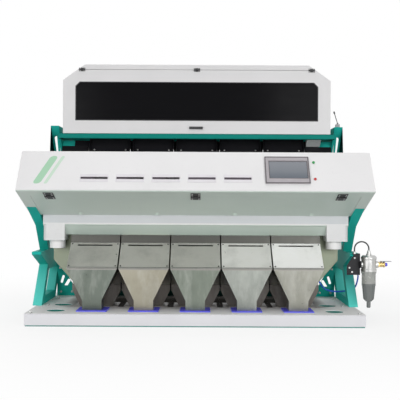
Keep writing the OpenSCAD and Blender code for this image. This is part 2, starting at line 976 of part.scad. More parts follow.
module feed_bin() {
    color(steel)
        difference() {
            across(row_w)
                polygon(bin_outline);
            difference() {
                across(row_w - 2 * sheet)
                    polygon(inset(bin_outline, sheet));
                for (i = [1 : lanes - 1])
                    translate([lane_x(i) - pitch / 2 - sheet / 2, 0, bin_z0])
                        cube([sheet, 2 * hood_back, bin_knee_z - bin_z0]);
            }
            for (i = [0 : lanes - 1])
                block([lane_x(i) - pitch / 2 + 2 * sheet, bin_low_y + 2 * sheet, bin_z0 - 1],
                      [lane_x(i) + pitch / 2 - 2 * sheet, bin_back - sheet, bin_z0 + 2 * sheet]);
            block([-inlet_x, inlet_y[0], hood_z1 - 3 * skin], [inlet_x, inlet_y[1], hood_z1]);
        }
}

// Feed gate: a shaft across the hood with one blade for each lane
blade_l = 38;
blade_t = 4;
blade_w = chute_w - 2 * sheet - 8;
shaft_out = 24;

module feed_gate() {
    color(steel) {
        translate([0, gate_y, gate_z])
            rotate([0, 90, 0])
                cylinder(h = hood_w + 2 * shaft_out, r = gate_shaft_r, center = true);
        for (i = [0 : lanes - 1])
            block([lane_x(i) - blade_w / 2, gate_y - blade_t / 2, gate_z - blade_l],
                  [lane_x(i) + blade_w / 2, gate_y + blade_t / 2, gate_z]);
    }
}

gate_lever_l = 110;
gate_lever_t = 8;
gate_hub_r = 16;
gate_knob_r = 15;

module gate_lever() {
    color(black)
        translate([hood_w / 2 + shaft_out, gate_y, gate_z]) {
            rotate([0, 90, 0])
                cylinder(h = gate_lever_t, r = gate_hub_r);
            block([0, -gate_shaft_r, 0], [gate_lever_t, gate_shaft_r, gate_lever_l]);
            translate([gate_lever_t / 2, 0, gate_lever_l])
                sphere(r = gate_knob_r);
        }
}

// Feeder trays and the vibrators under them
tray_y = [538, 775];
tray_z = 1470;
tray_wall = 34;
tray_pad = [110, 120, 24];
tray_pad_y = 630;
seat_gap = 0.3;
vib_base = [150, 90, 10];
vib_body = [100, 70];
spring_t = 4;
spring_w = 90;

module tray(i) {
    color(grey)
        translate([lane_x(i), 0, 0])
            union() {
                difference() {
                    block([-chute_w / 2, tray_y[0], tray_z], [chute_w / 2, tray_y[1], tray_z + tray_wall]);
                    block([-chute_w / 2 + sheet, tray_y[0] - 1, tray_z + sheet],
                          [chute_w / 2 - sheet, tray_y[1] - sheet, tray_z + tray_wall + 1]);
                }
                block([-tray_pad[0] / 2, tray_pad_y, tray_z - tray_pad[2]],
                      [tray_pad[0] / 2, tray_pad_y + tray_pad[1], tray_z]);
            }
}

module tray_1() { tray(0); }
module tray_2() { tray(1); }
module tray_3() { tray(2); }
module tray_4() { tray(3); }
module tray_5() { tray(4); }

module vibrators() {
    top = tray_z - tray_pad[2] - seat_gap;
    mid = tray_pad_y + tray_pad[1] / 2;
    color(grey)
        for (i = [0 : lanes - 1])
            translate([lane_x(i), mid, hood_z0]) {
                block([-vib_base[0] / 2, -vib_base[1] / 2, 0], [vib_base[0] / 2, vib_base[1] / 2, vib_base[2]]);
                block([-vib_body[0] / 2, -vib_body[1] / 2 + 2 * spring_t, vib_base[2]],
                      [vib_body[0] / 2, vib_body[1] / 2 - 2 * spring_t, top - hood_z0 - 2 * vib_base[2]]);
                for (s = [-1, 1])
                    block([-spring_w / 2, s * (vib_base[1] / 2 - spring_t) - spring_t / 2, vib_base[2]],
                          [spring_w / 2, s * (vib_base[1] / 2 - spring_t) + spring_t / 2, top - hood_z0 - 1]);
                block([-spring_w / 2, -vib_base[1] / 2, top - hood_z0 - vib_base[2]],
                      [spring_w / 2, vib_base[1] / 2, top - hood_z0]);
            }
}

strip_s = [330, chute_beam_s[1] - seat_gap];
strip_in = 2;

module chutes() {
    gap = pitch - chute_w - 2 * sheet;
    color(black)
        on_chute() {
            for (i = [0 : lanes - 1])
                translate([lane_x(i), 0, 0])
                    difference() {
                        block([-chute_w / 2 - sheet, 0, -sheet], [chute_w / 2 + sheet, chute_len, chute_wall]);
                        block([-chute_w / 2, -1, 0], [chute_w / 2, chute_len + 1, chute_wall + 1]);
                    }
            for (i = [1 : lanes - 1])
                translate([lane_x(i) - pitch / 2, 0, 0])
                    block([-gap / 2 + strip_in, strip_s[0], -chute_beam], [gap / 2 - strip_in, strip_s[1], -2 * sheet]);
            both_sides()
                block([row_w / 2, strip_s[0], -chute_beam], [frame_in - strip_in, strip_s[1], -2 * sheet]);
        }
}

// Rear optical box behind the falling stream
rear_s = [-170, 130];
rear_back = 690;
rear_low = chute_point(rear_s[0], -rear_view_gap);
rear_high = chute_point(rear_s[1], -rear_view_gap);
rear_box_outline = [
    rear_low, [rear_back - 80, rear_low[1]], [rear_back, rear_low[1] + 80], [rear_back, rear_high[1]], rear_high
];

module rear_box() {
    color(white)
        difference() {
            across(2 * frame_in)
                polygon(rear_box_outline);
            across(2 * (frame_in - skin))
                polygon(inset(rear_box_outline, skin));
            on_chute()
                block([-glass_w / 2 + glass_lap, glass_s0 + glass_lap, -rear_view_gap - 2 * skin],
                      [glass_w / 2 - glass_lap, glass_s1 - glass_lap, -rear_view_gap + 1]);
        }
}

module view_glasses() {
    color([0.75, 0.85, 0.85, 0.5])
        on_chute() {
            for (n = [front_view_gap + skin + glass_tape, -rear_view_gap - skin - glass_tape - glass_t])
                block([-glass_w / 2, glass_s0, n], [glass_w / 2, glass_s1, n + glass_t]);
        }
}

// Cameras on rails, aimed at the stream below the chutes' exit
front_rail = [-560, 900];
rear_rail = [600, 800];
rail_size = [60, 40];
camera = [80, 90, 70];
lens_r = 24;
lens_l = 40;

module camera_row(rail, w, forward) {
    across(w)
        translate(rail)
            square(rail_size);
    for (i = [0 : lanes - 1])
        translate([lane_x(i), rail[0] + rail_size[0] / 2, rail[1] + rail_size[1]]) {
            block([-camera[0] / 2, -camera[1] / 2, 0], [camera[0] / 2, camera[1] / 2, camera[2]]);
            translate([0, forward * camera[1] / 2, camera[2] / 2])
                rotate([-90 * forward, 0, 0])
                    cylinder(h = lens_l, r = lens_r);
        }
}

module front_cameras() {
    color(black)
        camera_row(front_rail, console_w - 2 * skin, 1);
}

module rear_cameras() {
    color(black)
        camera_row(rear_rail, 2 * (frame_in - skin), -1);
}

lamp_r = 15;
lamps_front = [[-150, 960], [-230, 780]];
lamps_rear = [[430, 860], [400, 700]];

module lamp_tubes() {
    color([0.95, 0.95, 0.98]) {
        for (p = lamps_front)
            translate([0, p[0], p[1]])
                rotate([0, 90, 0])
                    cylinder(h = console_w - 2 * skin, r = lamp_r, center = true);
        for (p = lamps_rear)
            translate([0, p[0], p[1]])
                rotate([0, 90, 0])
                    cylinder(h = 2 * (frame_in - skin), r = lamp_r, center = true);
    }
}

// Ejector bar with a nozzle lip and a valve block for each lane
ejector_y = [-110, -30];
ejector_z = [610, 680];
lip = [20, 12];
valve_block = [300, 40, 46];

module ejector_bar() {
    color(grey)
        across(2 * frame_in)
            polygon([
                [ejector_y[0], ejector_z[0]], [ejector_y[1], ejector_z[0]],
                [ejector_y[1], ejector_z[1] - lip[1]], [ejector_y[1] + lip[0], ejector_z[1] - lip[1]],
                [ejector_y[1] + lip[0], ejector_z[1]], [ejector_y[0], ejector_z[1]]
            ]);
}

module ejector_valves() {
    color(black)
        for (i = [0 : lanes - 1])
            block([lane_x(i) - valve_block[0] / 2, ejector_y[0] - valve_block[1], ejector_z[0]],
                  [lane_x(i) + valve_block[0] / 2, ejector_y[0], ejector_z[0] + valve_block[2]]);
}

// Air filter unit on the right fin
plate_t = 6;
plate_in = 23;
plate_out = 69;
plate_x = [frame_in - plate_in, frame_in + plate_out];
plate_z = [316, fin_z];
plate_cut = [54, 84];
filter_x = frame_in + 123;
filter_y = fin_tip_y - plate_t;
filter_reach = 30;
head_z = [345, 456];
bowl_z = 260;
cup_z = 150;
drain_z = 92;
drain_r = 14;
wall = 4;
head_groove = 3;
head_crown = 12;
ring_h = 14;
bowl_r = filter_r - 6;
cup_r = filter_r - 20;
ribs = 12;
rib_t = 4;
rib_out = 3;
cup_lip = 4;
valve_z = 392;
valve_r = 16;
hex_r = 20;
hex_l = 10;
stem_r = 6;
stem_h = 24;
boss_r = 24;
boss_x = filter_x + filter_r + 8;
valve_x = boss_x + 24;
valve_end = 24;
fitting_r = 18;
fitting_h = 20;

// A frame on the filter's axis, level with the floor
module on_filter() {
    translate([filter_x, filter_y - filter_reach, 0])
        children();
}

module filter_bracket() {
    color(black) {
        along(filter_y, filter_y + plate_t)
            polygon([
                [plate_x[0], plate_z[0]], [plate_x[1], plate_z[0]], [plate_x[1], plate_z[1]],
                [plate_x[0] + plate_cut[0], plate_z[1]], [plate_x[0], plate_z[1] - plate_cut[1]]
            ]);
        block([plate_x[1] - plate_t, filter_y - filter_reach - boss_r / 2, valve_z - boss_r],
              [plate_x[1], filter_y, valve_z + boss_r]);
        block([tube_x - 2 * tube_r, filter_y - filter_reach - 2 * tube_r, plate_z[1] - plate_t],
              [tube_x + 2 * tube_r, filter_y, plate_z[1]]);
    }
}

module filter_head() {
    color(grey)
        on_filter() {
            rotate_extrude()
                polygon([
                    [0, head_z[0]], [filter_r, head_z[0]], [filter_r, head_z[0] + ring_h],
                    [filter_r - head_groove, head_z[0] + ring_h + head_groove],
                    [filter_r - head_groove, head_z[1] - ring_h - head_crown - head_groove],
                    [filter_r, head_z[1] - ring_h - head_crown], [filter_r, head_z[1] - head_crown],
                    [filter_r - head_crown, head_z[1]], [fitting_r, head_z[1]],
                    [fitting_r, head_z[1] + fitting_h / 2], [fitting_r - wall, head_z[1] + fitting_h / 2],
                    [fitting_r - wall, head_z[1] + fitting_h], [0, head_z[1] + fitting_h]
                ]);
            translate([plate_x[1] - filter_x, 0, valve_z])
                rotate([0, 90, 0])
                    cylinder(h = boss_x - plate_x[1], r = boss_r);
        }
}

module filter_bowl() {
    color([0.85, 0.87, 0.86])
        on_filter()
            rotate_extrude()
                polygon([
                    [bowl_r - wall, bowl_z], [bowl_r, bowl_z], [bowl_r, head_z[0] - ring_h],
                    [bowl_r + wall, head_z[0] - ring_h], [bowl_r + wall, head_z[0]], [bowl_r - wall, head_z[0]]
                ]);
}

module filter_cup() {
    color(grey)
        on_filter() {
            rotate_extrude()
                polygon([
                    [0, drain_z], [drain_r - wall, drain_z], [drain_r, drain_z + wall], [drain_r, cup_z - ring_h],
                    [cup_r - ring_h, cup_z - ring_h], [cup_r, cup_z], [bowl_r - cup_lip, bowl_z - ring_h],
                    [bowl_r, bowl_z - ring_h], [bowl_r, bowl_z], [0, bowl_z]
                ]);
            for (i = [0 : ribs - 1])
                rotate([90, 0, 360 * i / ribs])
                    linear_extrude(rib_t, center = true)
                        polygon([
                            [cup_r / 2, cup_z + rib_t], [cup_r + rib_out, cup_z + rib_t],
                            [bowl_r - cup_lip + rib_out, bowl_z - ring_h / 2], [cup_r / 2, bowl_z - ring_h / 2]
                        ]);
        }
}

// A hexagon nut along X from x0
module hex_nut(x0) {
    translate([x0, 0, 0])
        rotate([0, 90, 0])
            cylinder(h = hex_l, r = hex_r, $fn = 6);
}

module valve_body() {
    color(brass)
        translate([0, filter_y - filter_reach, valve_z]) {
            translate([boss_x, 0, 0])
                rotate([0, 90, 0])
                    cylinder(h = valve_x - boss_x + valve_end, r = valve_r);
            hex_nut(boss_x);
            hex_nut(valve_x + valve_end - hex_l);
            translate([valve_x, 0, 0])
                cylinder(h = stem_h, r = stem_r);
            translate([valve_x, 0, 0])
                sphere(r = valve_r + 2);
        }
}

lever_t = 4;
lever_w = 14;
lever_hub = 11;
lever_z = valve_z + stem_h - lever_t + seat_gap;

module valve_lever() {
    color(grey)
        translate([valve_x, filter_y - filter_reach, lever_z])
            difference() {
                union() {
                    cylinder(h = lever_t, r = lever_hub);
                    block([0, -lever_w / 2, 0], [lever_l, lever_w / 2, lever_t]);
                }
                translate([0, 0, -1])
                    cylinder(h = lever_t + 2, r = stem_r + shaft_gap);
            }
}

// A tube swept along points, with rings of a few sides
hose_sides = 10;
hose_steps = 4;
function spline(a, b, c, d, t) =
    (2 * b + (c - a) * t + (2 * a - 5 * b + 4 * c - d) * t * t + (3 * b - a - 3 * c + d) * t * t * t) / 2;
function smooth(p) = concat([
    for (i = [0 : len(p) - 2])
        for (k = [0 : hose_steps - 1])
            spline(p[max(i - 1, 0)], p[i], p[i + 1], p[min(i + 2, len(p) - 1)], k / hose_steps)
], [p[len(p) - 1]]);

module swept(p, r, first, last) {
    n = len(p);
    rings = [
        for (i = [0 : n - 1])
            let (u = i == 0 ? first : i == n - 1 ? last : unit(p[i + 1] - p[i - 1]),
                 side = unit(cross(u, hose_side)),
                 up = cross(side, u))
            for (k = [0 : hose_sides - 1])
                p[i] + r * (side * cos(360 * k / hose_sides) + up * sin(360 * k / hose_sides))
    ];
    polyhedron(
        points = rings,
        faces = concat(
            [[for (k = [hose_sides - 1 : -1 : 0]) k]],
            [for (i = [0 : n - 2])
                for (k = [0 : hose_sides - 1])
                    let (a = i * hose_sides, j = (k + 1) % hose_sides)
                    [a + k, a + j, a + hose_sides + j, a + hose_sides + k]],
            [[for (k = [0 : hose_sides - 1]) (n - 1) * hose_sides + k]]
        )
    );
}

// Air hose: from behind the bracket, outside the leg, through its window and up to the ejector bar
hose_r = 6;
hose_side = [0.3, 0.5, -0.8];
hose_riser_x = 905;
hose_riser_y = -70;
hose_points = [
    [1128, fin_tip_y, 338], [1130, -372, 337], [1142, -335, 326], [1158, -292, 302], [1164, -248, 268],
    [1164, -204, 230], [1157, -166, 200], [1128, -138, 180], [1080, -122, 170], [1020, -108, 166],
    [965, -96, 178], [926, -82, 212], [908, -74, 262], [hose_riser_x, hose_riser_y, 330], [hose_riser_x, hose_riser_y, 440],
    [hose_riser_x, hose_riser_y, 540], [hose_riser_x, hose_riser_y, ejector_z[0]]
];

// Air tube: a loop from the filter's top fitting to the bracket's lug
tube_r = 5;
tube_x = (plate_x[0] + plate_x[1]) / 2;
tube_bend = (filter_x - tube_x) / 2;
tube_z = 500;

module air_tube() {
    color(blue)
        swept(smooth(hose_points), hose_r, [0, 1, 0], [0, 0, 1]);
    color(black)
        translate([filter_x - tube_bend, filter_y - filter_reach, tube_z])
            rotate([90, 0, 0]) {
                rotate_extrude(angle = 180)
                    translate([tube_bend, 0])
                        circle(r = tube_r);
                for (e = [[tube_bend, head_z[1] + fitting_h], [-tube_bend, plate_z[1]]])
                    translate([e[0], 0, 0])
                        rotate([90, 0, 0])
                            cylinder(h = tube_z - e[1], r = tube_r);
            }
}

// Stick switch on the right ear, a rod that swings and springs back
switch_y = 330;
switch_x = frame_in + 34;
ear_z = 1412;
switch_body_h = 26;
rod_l = 90;
rod_r = 3;
rod_lean = 17;
barrel_r = 6;
barrel_l = 16;
tip_l = 20;
switch_size = [30, 40];

module switch_body() {
    color(grey)
        block([switch_x - switch_size[0] / 2, switch_y - switch_size[1] / 2, ear_z],
              [switch_x + switch_size[0] / 2, switch_y + switch_size[1] / 2, ear_z + switch_body_h]);
}

module switch_rod() {
    color(black)
        translate([switch_x, switch_y, ear_z + switch_body_h + seat_gap + barrel_r])
            rotate([0, -rod_lean, 0]) {
                rotate([90, 0, 0])
                    cylinder(h = barrel_l, r = barrel_r, center = true);
                cylinder(h = rod_l, r = rod_r);
                translate([0, 0, rod_l - tip_l / 2])
                    cylinder(h = tip_l, r = 2 * rod_r);
            }
}

// Junction box on the upper chute beam
junction = [110, 90];
junction_gap = 10;

module junction_box() {
    color(grey)
        on_chute()
            block([row_w / 2 + junction_gap, chute_beam_s[1], -sheet],
                  [row_w / 2 + junction_gap + junction[0], chute_beam_s[1] + chute_beam, junction[1] - sheet]);
}

// Hex bolts on the base
bolt_h = 8;
bolt_r = 11;
bolt_in = 35;
frame_bolt_in = 41;
bolt_places = concat(
    [[base_w / 2 - bolt_in, -base_d / 2 + bolt_in]],
    [for (y = [-340, 60]) [frame_in - frame_bolt_in, y]]
);

module bolts() {
    color(grey)
        both_sides()
            for (p = bolt_places)
                translate([p[0], p[1], base_h])
                    cylinder(h = bolt_h, r = bolt_r, $fn = 6);
}

base_frame();
base_plinth();
side_frame_left();
side_frame_right();
top_frame();
cross_beams();
console_shell();
slot_trims();
screen_bezel();
screen_glass();
button_collars();
green_button();
red_button();
hinge_mounts();
access_door();
access_hinge_leaves();
dust_duct();
dust_ports();
front_hoppers();
rear_hoppers();
spout_seals();
end_deflectors();
flap_1();
flap_2();
flap_3();
flap_4();
flap_5();
hood();
top_door();
door_window();
door_handle();
top_hinge_leaves();
feed_bin();
feed_gate();
gate_lever();
tray_1();
tray_2();
tray_3();
tray_4();
tray_5();
vibrators();
chutes();
rear_box();
front_cameras();
rear_cameras();
lamp_tubes();
view_glasses();
ejector_bar();
ejector_valves();
filter_bracket();
filter_head();
filter_bowl();
filter_cup();
valve_body();
valve_lever();
air_tube();
switch_body();
switch_rod();
junction_box();
bolts();
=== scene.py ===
import json
import math
import bpy
import bmesh
from mathutils import Matrix, Vector


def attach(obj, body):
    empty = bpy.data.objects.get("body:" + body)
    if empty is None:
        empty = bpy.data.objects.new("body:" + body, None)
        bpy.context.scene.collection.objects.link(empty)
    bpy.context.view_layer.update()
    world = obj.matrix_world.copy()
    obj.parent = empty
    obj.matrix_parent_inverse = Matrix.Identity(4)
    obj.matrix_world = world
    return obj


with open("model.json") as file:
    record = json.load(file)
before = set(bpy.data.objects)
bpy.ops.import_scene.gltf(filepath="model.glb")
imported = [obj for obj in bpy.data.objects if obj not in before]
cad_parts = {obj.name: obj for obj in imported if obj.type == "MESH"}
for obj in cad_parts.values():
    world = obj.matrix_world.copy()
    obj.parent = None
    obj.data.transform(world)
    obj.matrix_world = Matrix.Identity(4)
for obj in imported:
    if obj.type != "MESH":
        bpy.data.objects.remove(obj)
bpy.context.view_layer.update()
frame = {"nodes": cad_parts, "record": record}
nodes = frame["nodes"]
scene = bpy.context.scene

# Lengths are in metres and places are those of the solids: X to the right, Y to the rear, Z up.

# Camera: level, in front of the machine, fitted to the photograph's frame of 400 by 400 pixels
PHOTO_PX = 400
FOCAL_PX = 784
SENSOR_MM = 36.0
CAMERA_AT = (0.029, -5.88, 0.834)
CAMERA_ROLL = math.radians(0.3)

# Lanes, main planes, and the (y, z) corners of the slopes
LANES = 5
PITCH = 0.347
LANE_GAP = 0.008
DECK_Z = 0.085
ANGLE_Y = 0.240
NOSE = (-0.884, 0.890)
FASCIA_TOP = (-0.690, 1.152)
UNDER_END = (-0.414, 0.726)
FOLD = (-0.630, 0.372)
FLAP_TOP = (-0.443, 0.532)


def lane_x(i):
    return (i - (LANES - 1) / 2) * PITCH


def slope_matrix(low, high, x=0.0):
    """A frame on a slope: local Y runs from low to high, local Z outwards to the front."""
    angle = math.atan2(high[1] - low[1], high[0] - low[0])
    return Matrix.Translation((x, low[0], low[1])) @ Matrix.Rotation(angle, 4, "X")


def front_matrix(y, z=0.0):
    """A frame on an upright face: local X to the right, local Y up, local Z to the front."""
    return Matrix.Translation((0, y, z)) @ Matrix.Rotation(math.pi / 2, 4, "X")


def side_matrix(side, x, y, z):
    """A frame on the left (-1) or right (1) side, with local Z outwards."""
    return Matrix.Translation((side * x, y, z)) @ Matrix.Rotation(side * math.pi / 2, 4, "Y")


def at(matrix, x, y, z=0.0):
    return matrix @ Matrix.Translation((x, y, z))


FASCIA = slope_matrix(NOSE, FASCIA_TOP)
UNDERSIDE = slope_matrix(NOSE, UNDER_END) @ Matrix.Rotation(math.pi, 4, "X")


# Shader nodes

NOISE_LOW = 0.3
NOISE_HIGH = 0.7


def new_material(name):
    mat = bpy.data.materials.new(name)
    mat.use_nodes = True
    tree = mat.node_tree
    return mat, tree, tree.nodes["Principled BSDF"]


def add(tree, kind, **inputs):
    node = tree.nodes.new(kind)
    for key, value in inputs.items():
        node.inputs[key.replace("_", " ")].default_value = value
    return node


def feed(tree, value, socket):
    """Links an output to an input, or sets the input to a number or a colour."""
    if isinstance(value, bpy.types.NodeSocket):
        tree.links.new(value, socket)
    else:
        socket.default_value = (*value, 1.0) if isinstance(value, tuple) else value


def math_node(tree, operation, a, b):
    node = tree.nodes.new("ShaderNodeMath")
    node.operation = operation
    feed(tree, a, node.inputs[0])
    feed(tree, b, node.inputs[1])
    return node.outputs[0]


def coords(tree, stretch=(1, 1, 1)):
    """Object coordinates, scaled by stretch."""
    place = tree.nodes.new("ShaderNodeTexCoord")
    mapping = add(tree, "ShaderNodeMapping", Scale=stretch)
    tree.links.new(place.outputs["Object"], mapping.inputs["Vector"])
    return mapping.outputs["Vector"]


def parts_of(tree, vector):
    """The X, Y and Z outputs of a vector."""
    split = tree.nodes.new("ShaderNodeSeparateXYZ")
    tree.links.new(vector, split.inputs["Vector"])
    return split.outputs


def map_range(tree, value, low, high, to_low=0.0, to_high=1.0):
    """A value mapped from the range low to high to another one, and held at its ends."""
    node = add(tree, "ShaderNodeMapRange", From_Min=low, From_Max=high, To_Min=to_low, To_Max=to_high)
    tree.links.new(value, node.inputs["Value"])
    return node.outputs["Result"]


def spread(tree, value, low, high):
    """A noise value mapped to the range from low to high."""
    return map_range(tree, value, NOISE_LOW, NOISE_HIGH, low, high)


def axis_value(tree, axis, low, high):
    """How far along an axis a point lies, from 0 at low to 1 at high."""
    return map_range(tree, parts_of(tree, coords(tree))[axis], low, high)


def noise(tree, vector, scale, detail=4.0, rough=0.55):
    tex = add(tree, "ShaderNodeTexNoise", Scale=scale, Detail=detail, Roughness=rough)
    tree.links.new(vector, tex.inputs["Vector"])
    return tex.outputs["Fac"]


def ramp(tree, value, stops, steps=False):
    """A colour ramp with (place, colour) stops, smooth or in steps."""
    node = tree.nodes.new("ShaderNodeValToRGB")
    if steps:
        node.color_ramp.interpolation = "CONSTANT"
    marks = node.color_ramp.elements
    while len(marks) < len(stops):
        marks.new(0.5)
    for mark, (place, colour) in zip(marks, stops):
        mark.position = place
        mark.color = (*colour, 1.0)
    tree.links.new(value, node.inputs["Fac"])
    return node.outputs["Color"]


def bump(tree, shader, value, strength, distance):
    node = add(tree, "ShaderNodeBump", Strength=strength, Distance=distance)
    tree.links.new(value, node.inputs["Height"])
    tree.links.new(node.outputs["Normal"], shader.inputs["Normal"])


def colour_socket(sockets, name):
    return next(s for s in sockets if s.name == name and s.type == "RGBA")


def mixed(tree, factor, a, b, blend="MIX"):
    """Colour b over colour a, by factor."""
    node = tree.nodes.new("ShaderNodeMix")
    node.data_type = "RGBA"
    node.blend_type = blend
    feed(tree, factor, node.inputs["Factor"])
    feed(tree, a, colour_socket(node.inputs, "A"))
    feed(tree, b, colour_socket(node.inputs, "B"))
    return colour_socket(node.outputs, "Result")


def shade(colour, k):
    return tuple(min(1.0, c * k) for c in colour)


def mottled(tree, value, colour, dark, light, places=(0.30, 0.60, 0.80)):
    """The colour, times dark where value is low and times light where it is high."""
    low, middle, high = places
    return ramp(tree, value, [(low, shade(colour, dark)), (middle, colour), (high, shade(colour, light))])


# Masks: functions that give 0 to 1 in a material's tree

def tilted(low, high, axis="Z"):
    """By how far a face looks along an axis: 0 where its normal's part there is low, 1 where it is high."""
    def mask(tree):
        normal = tree.nodes.new("ShaderNodeNewGeometry").outputs["Normal"]
        return map_range(tree, parts_of(tree, normal)[axis], low, high)
    return mask


def zone(x=(None, None), y=(None, None), z=(None, None)):
    """1 between the bounds on every axis, 0 elsewhere; None leaves a side open."""
    def mask(tree):
        place = parts_of(tree, coords(tree))
        value = 1.0
        for axis, bounds in zip("XYZ", (x, y, z)):
            for operation, bound in zip(("GREATER_THAN", "LESS_THAN"), bounds):
                if bound is not None:
                    value = math_node(tree, "MULTIPLY", value, math_node(tree, operation, place[axis], bound))
        return value
    return mask


def faded(mask, axis, low, high):
    """Another mask that also fades in along an axis, from low to high."""
    def both(tree):
        return math_node(tree, "MULTIPLY", mask(tree), axis_value(tree, axis, low, high))
    return both


AIR_LOOP = zone(x=(1.05, None), z=(0.40, None))
# Painted shade: the rear spout seals are coloured dark grey where they lie in shade under the rear hoppers.
SHADED_REAR_SEALS = zone(y=(-0.43, None))
# Painted shade: the cross beam up by the chutes is coloured black there.
SHADED_CHUTE_BEAM = zone(x=(-0.98, 0.98), y=(0.2, 0.60), z=(1.18, 1.40))
HOPPER_FRONT = zone(y=(-0.46, -0.40), z=(0.533, 0.60))
FUNNEL_LIP = zone(y=(-0.66, -0.60), z=(0.363, 0.3715))
FLAP_BEAD = zone(y=(-0.65, -0.62), z=(0.36, 0.3825))
# Painted light on the rear hoppers' sloped front, seen in the wedges between the front funnels.
LIT_REAR_FLOOR = zone(y=(-0.379, 0.10), z=(0.241, 0.60))
# Painted shade on the duct's front face under the console.
SHADED_DUCT_FACE = zone(y=(-0.42, -0.40), z=(0.671, 0.74))
END_PLATES = zone(z=(0.074, 0.083))
UNDER_HOPPERS = zone(y=(-0.41, ANGLE_Y), z=(DECK_Z - 0.001, DECK_Z + 0.001))
# Painted shade on the deck under and between the two rows of hoppers: darkest in the middle, fading out towards
# the ends and the rear.
SHADED_DECK = faded(faded(UNDER_HOPPERS, "X", -0.95, -0.80), "X", 0.95, 0.80)
DEEP_SHADED_DECK = faded(faded(SHADED_DECK, "Y", -0.36, -0.12), "Y", 0.22, 0.05)
# Painted shade on the front of the rear angle, seen between the rear hoppers.
SHADED_ANGLE_FRONT = zone(x=(-0.87, 0.87), y=(0.2395, 0.2415), z=(0.08, 0.17))
# Faces looking down get the pale green of the underside: partly the underside's own paint, as on the access
# door, and partly painted shade with a green cast.
LOOKING_DOWN = tilted(-0.20, -0.50)
LOOKING_UP = tilted(0.40, 0.80)
LEG_FRONT = faded(tilted(-0.3, -0.6, "Y"), "Z", 0.45, 0.25)


# Finishes: each makes one material. others are (colour, mask) pairs laid over the base colour in turn.

SHEET_GRAIN = (3, 220, 220)
UPRIGHT_GRAIN = (220, 220, 3)
TRIM_DEPTH = 0.0015
SCREEN_Z = (0.97, 1.09)


def coat(tree, colour, dirt):
    """The colour of a powder coat, with slow shifts of tone and a little dust, and the dust's specks."""
    place = coords(tree)
    slow = noise(tree, place, scale=2.2, detail=5)
    speck = noise(tree, place, scale=60, detail=6, rough=0.7)
    tone = mottled(tree, slow, colour, dark=1 - dirt, light=1.02, places=(0.30, 0.55, 0.75))
    dust = ramp(tree, speck, [(0.30, shade(colour, 1 - 1.5 * dirt)), (0.42, colour)])
    return mixed(tree, slow, tone, dust), speck


def paint(name, colour, rough=0.38, peel=0.10, dirt=0.06, gloss=0.45, others=()):
    """Powder coat with faint orange peel."""
    mat, tree, shader = new_material(name)
    blend, speck = coat(tree, colour, dirt)
    for other, mask in others:
        blend = mixed(tree, mask(tree), blend, coat(tree, other, dirt)[0])
    tree.links.new(blend, shader.inputs["Base Color"])
    tree.links.new(spread(tree, speck, rough - 0.05, rough + 0.07), shader.inputs["Roughness"])
    bump(tree, shader, noise(tree, coords(tree), scale=420, detail=2), strength=peel, distance=0.0006)
    shader.inputs["Specular IOR Level"].default_value = gloss
    return mat


def stainless(name, colour, rough=0.30):
    """Rolled stainless sheet: fine grain along one way, cloudy haze and wiped smears."""
    mat, tree, shader = new_material(name)
    lines = noise(tree, coords(tree, SHEET_GRAIN), scale=3.0, detail=3)
    cloud = noise(tree, coords(tree), scale=5.5, detail=6, rough=0.62)
    smear = noise(tree, coords(tree, (2.0, 7.0, 2.5)), scale=4.0, detail=5, rough=0.7)
    tone = mottled(tree, cloud, colour, dark=0.80, light=1.12, places=(0.30, 0.52, 0.75))
    warm = tuple(c * k for c, k in zip(colour, (1.02, 0.96, 0.84)))
    tree.links.new(mixed(tree, smear, tone, warm), shader.inputs["Base Color"])
    shader.inputs["Metallic"].default_value = 1.0
    tree.links.new(spread(tree, cloud, rough - 0.06, rough + 0.14), shader.inputs["Roughness"])
    bump(tree, shader, lines, strength=0.10, distance=0.0008)
    return mat


def lane_steps(tree, colours):
    """One colour for each lane, changing at the gap between two lanes."""
    across = axis_value(tree, "X", -LANES * PITCH / 2, LANES * PITCH / 2)
    return ramp(tree, across, [(i / LANES, colour) for i, colour in enumerate(colours)], steps=True)


def lane_steel(name, colours, metal_level, grain=SHEET_GRAIN, rough=0.32, others=(), wipes_and_sheen=0.0):
    """Stainless sheet whose tone and metallic level differ from lane to lane; the differences are painted
    reflection, as each lane gives back different light.
    """
    mat, tree, shader = new_material(name)
    cloud = noise(tree, coords(tree), scale=5.5, detail=6, rough=0.62)
    smear = noise(tree, coords(tree, (7.0, 2.0, 2.5)), scale=4.0, detail=5, rough=0.7)
    haze = ramp(tree, cloud, [(0.30, (0.80, 0.80, 0.79)), (0.52, (0.97, 0.97, 0.96)), (0.75, (1.0, 1.0, 1.0))])
    tone = mixed(tree, 1.0, lane_steps(tree, colours), haze, blend="MULTIPLY")
    # Lighter streaks: wipe marks, and painted highlights where the sheet catches light.
    if wipes_and_sheen:
        streak = noise(tree, coords(tree, (4.0, 2.0, 1.3)), scale=3.4, detail=6, rough=0.62)
        mark = ramp(tree, streak, [(0.46, (0.0, 0.0, 0.0)), (0.80, (wipes_and_sheen, wipes_and_sheen, wipes_and_sheen))])
        tone = mixed(tree, mark, tone, WIPE_AND_SHEEN_STEEL)
    for other, mask in others:
        tone = mixed(tree, mask(tree), tone, other)
    tree.links.new(tone, shader.inputs["Base Color"])
    tree.links.new(lane_steps(tree, [(p, p, p) for p in metal_level]), shader.inputs["Metallic"])
    tree.links.new(spread(tree, smear, rough - 0.06, rough + 0.16), shader.inputs["Roughness"])
    bump(tree, shader, noise(tree, coords(tree, grain), scale=3.0, detail=3), strength=0.10, distance=0.0008)
    return mat


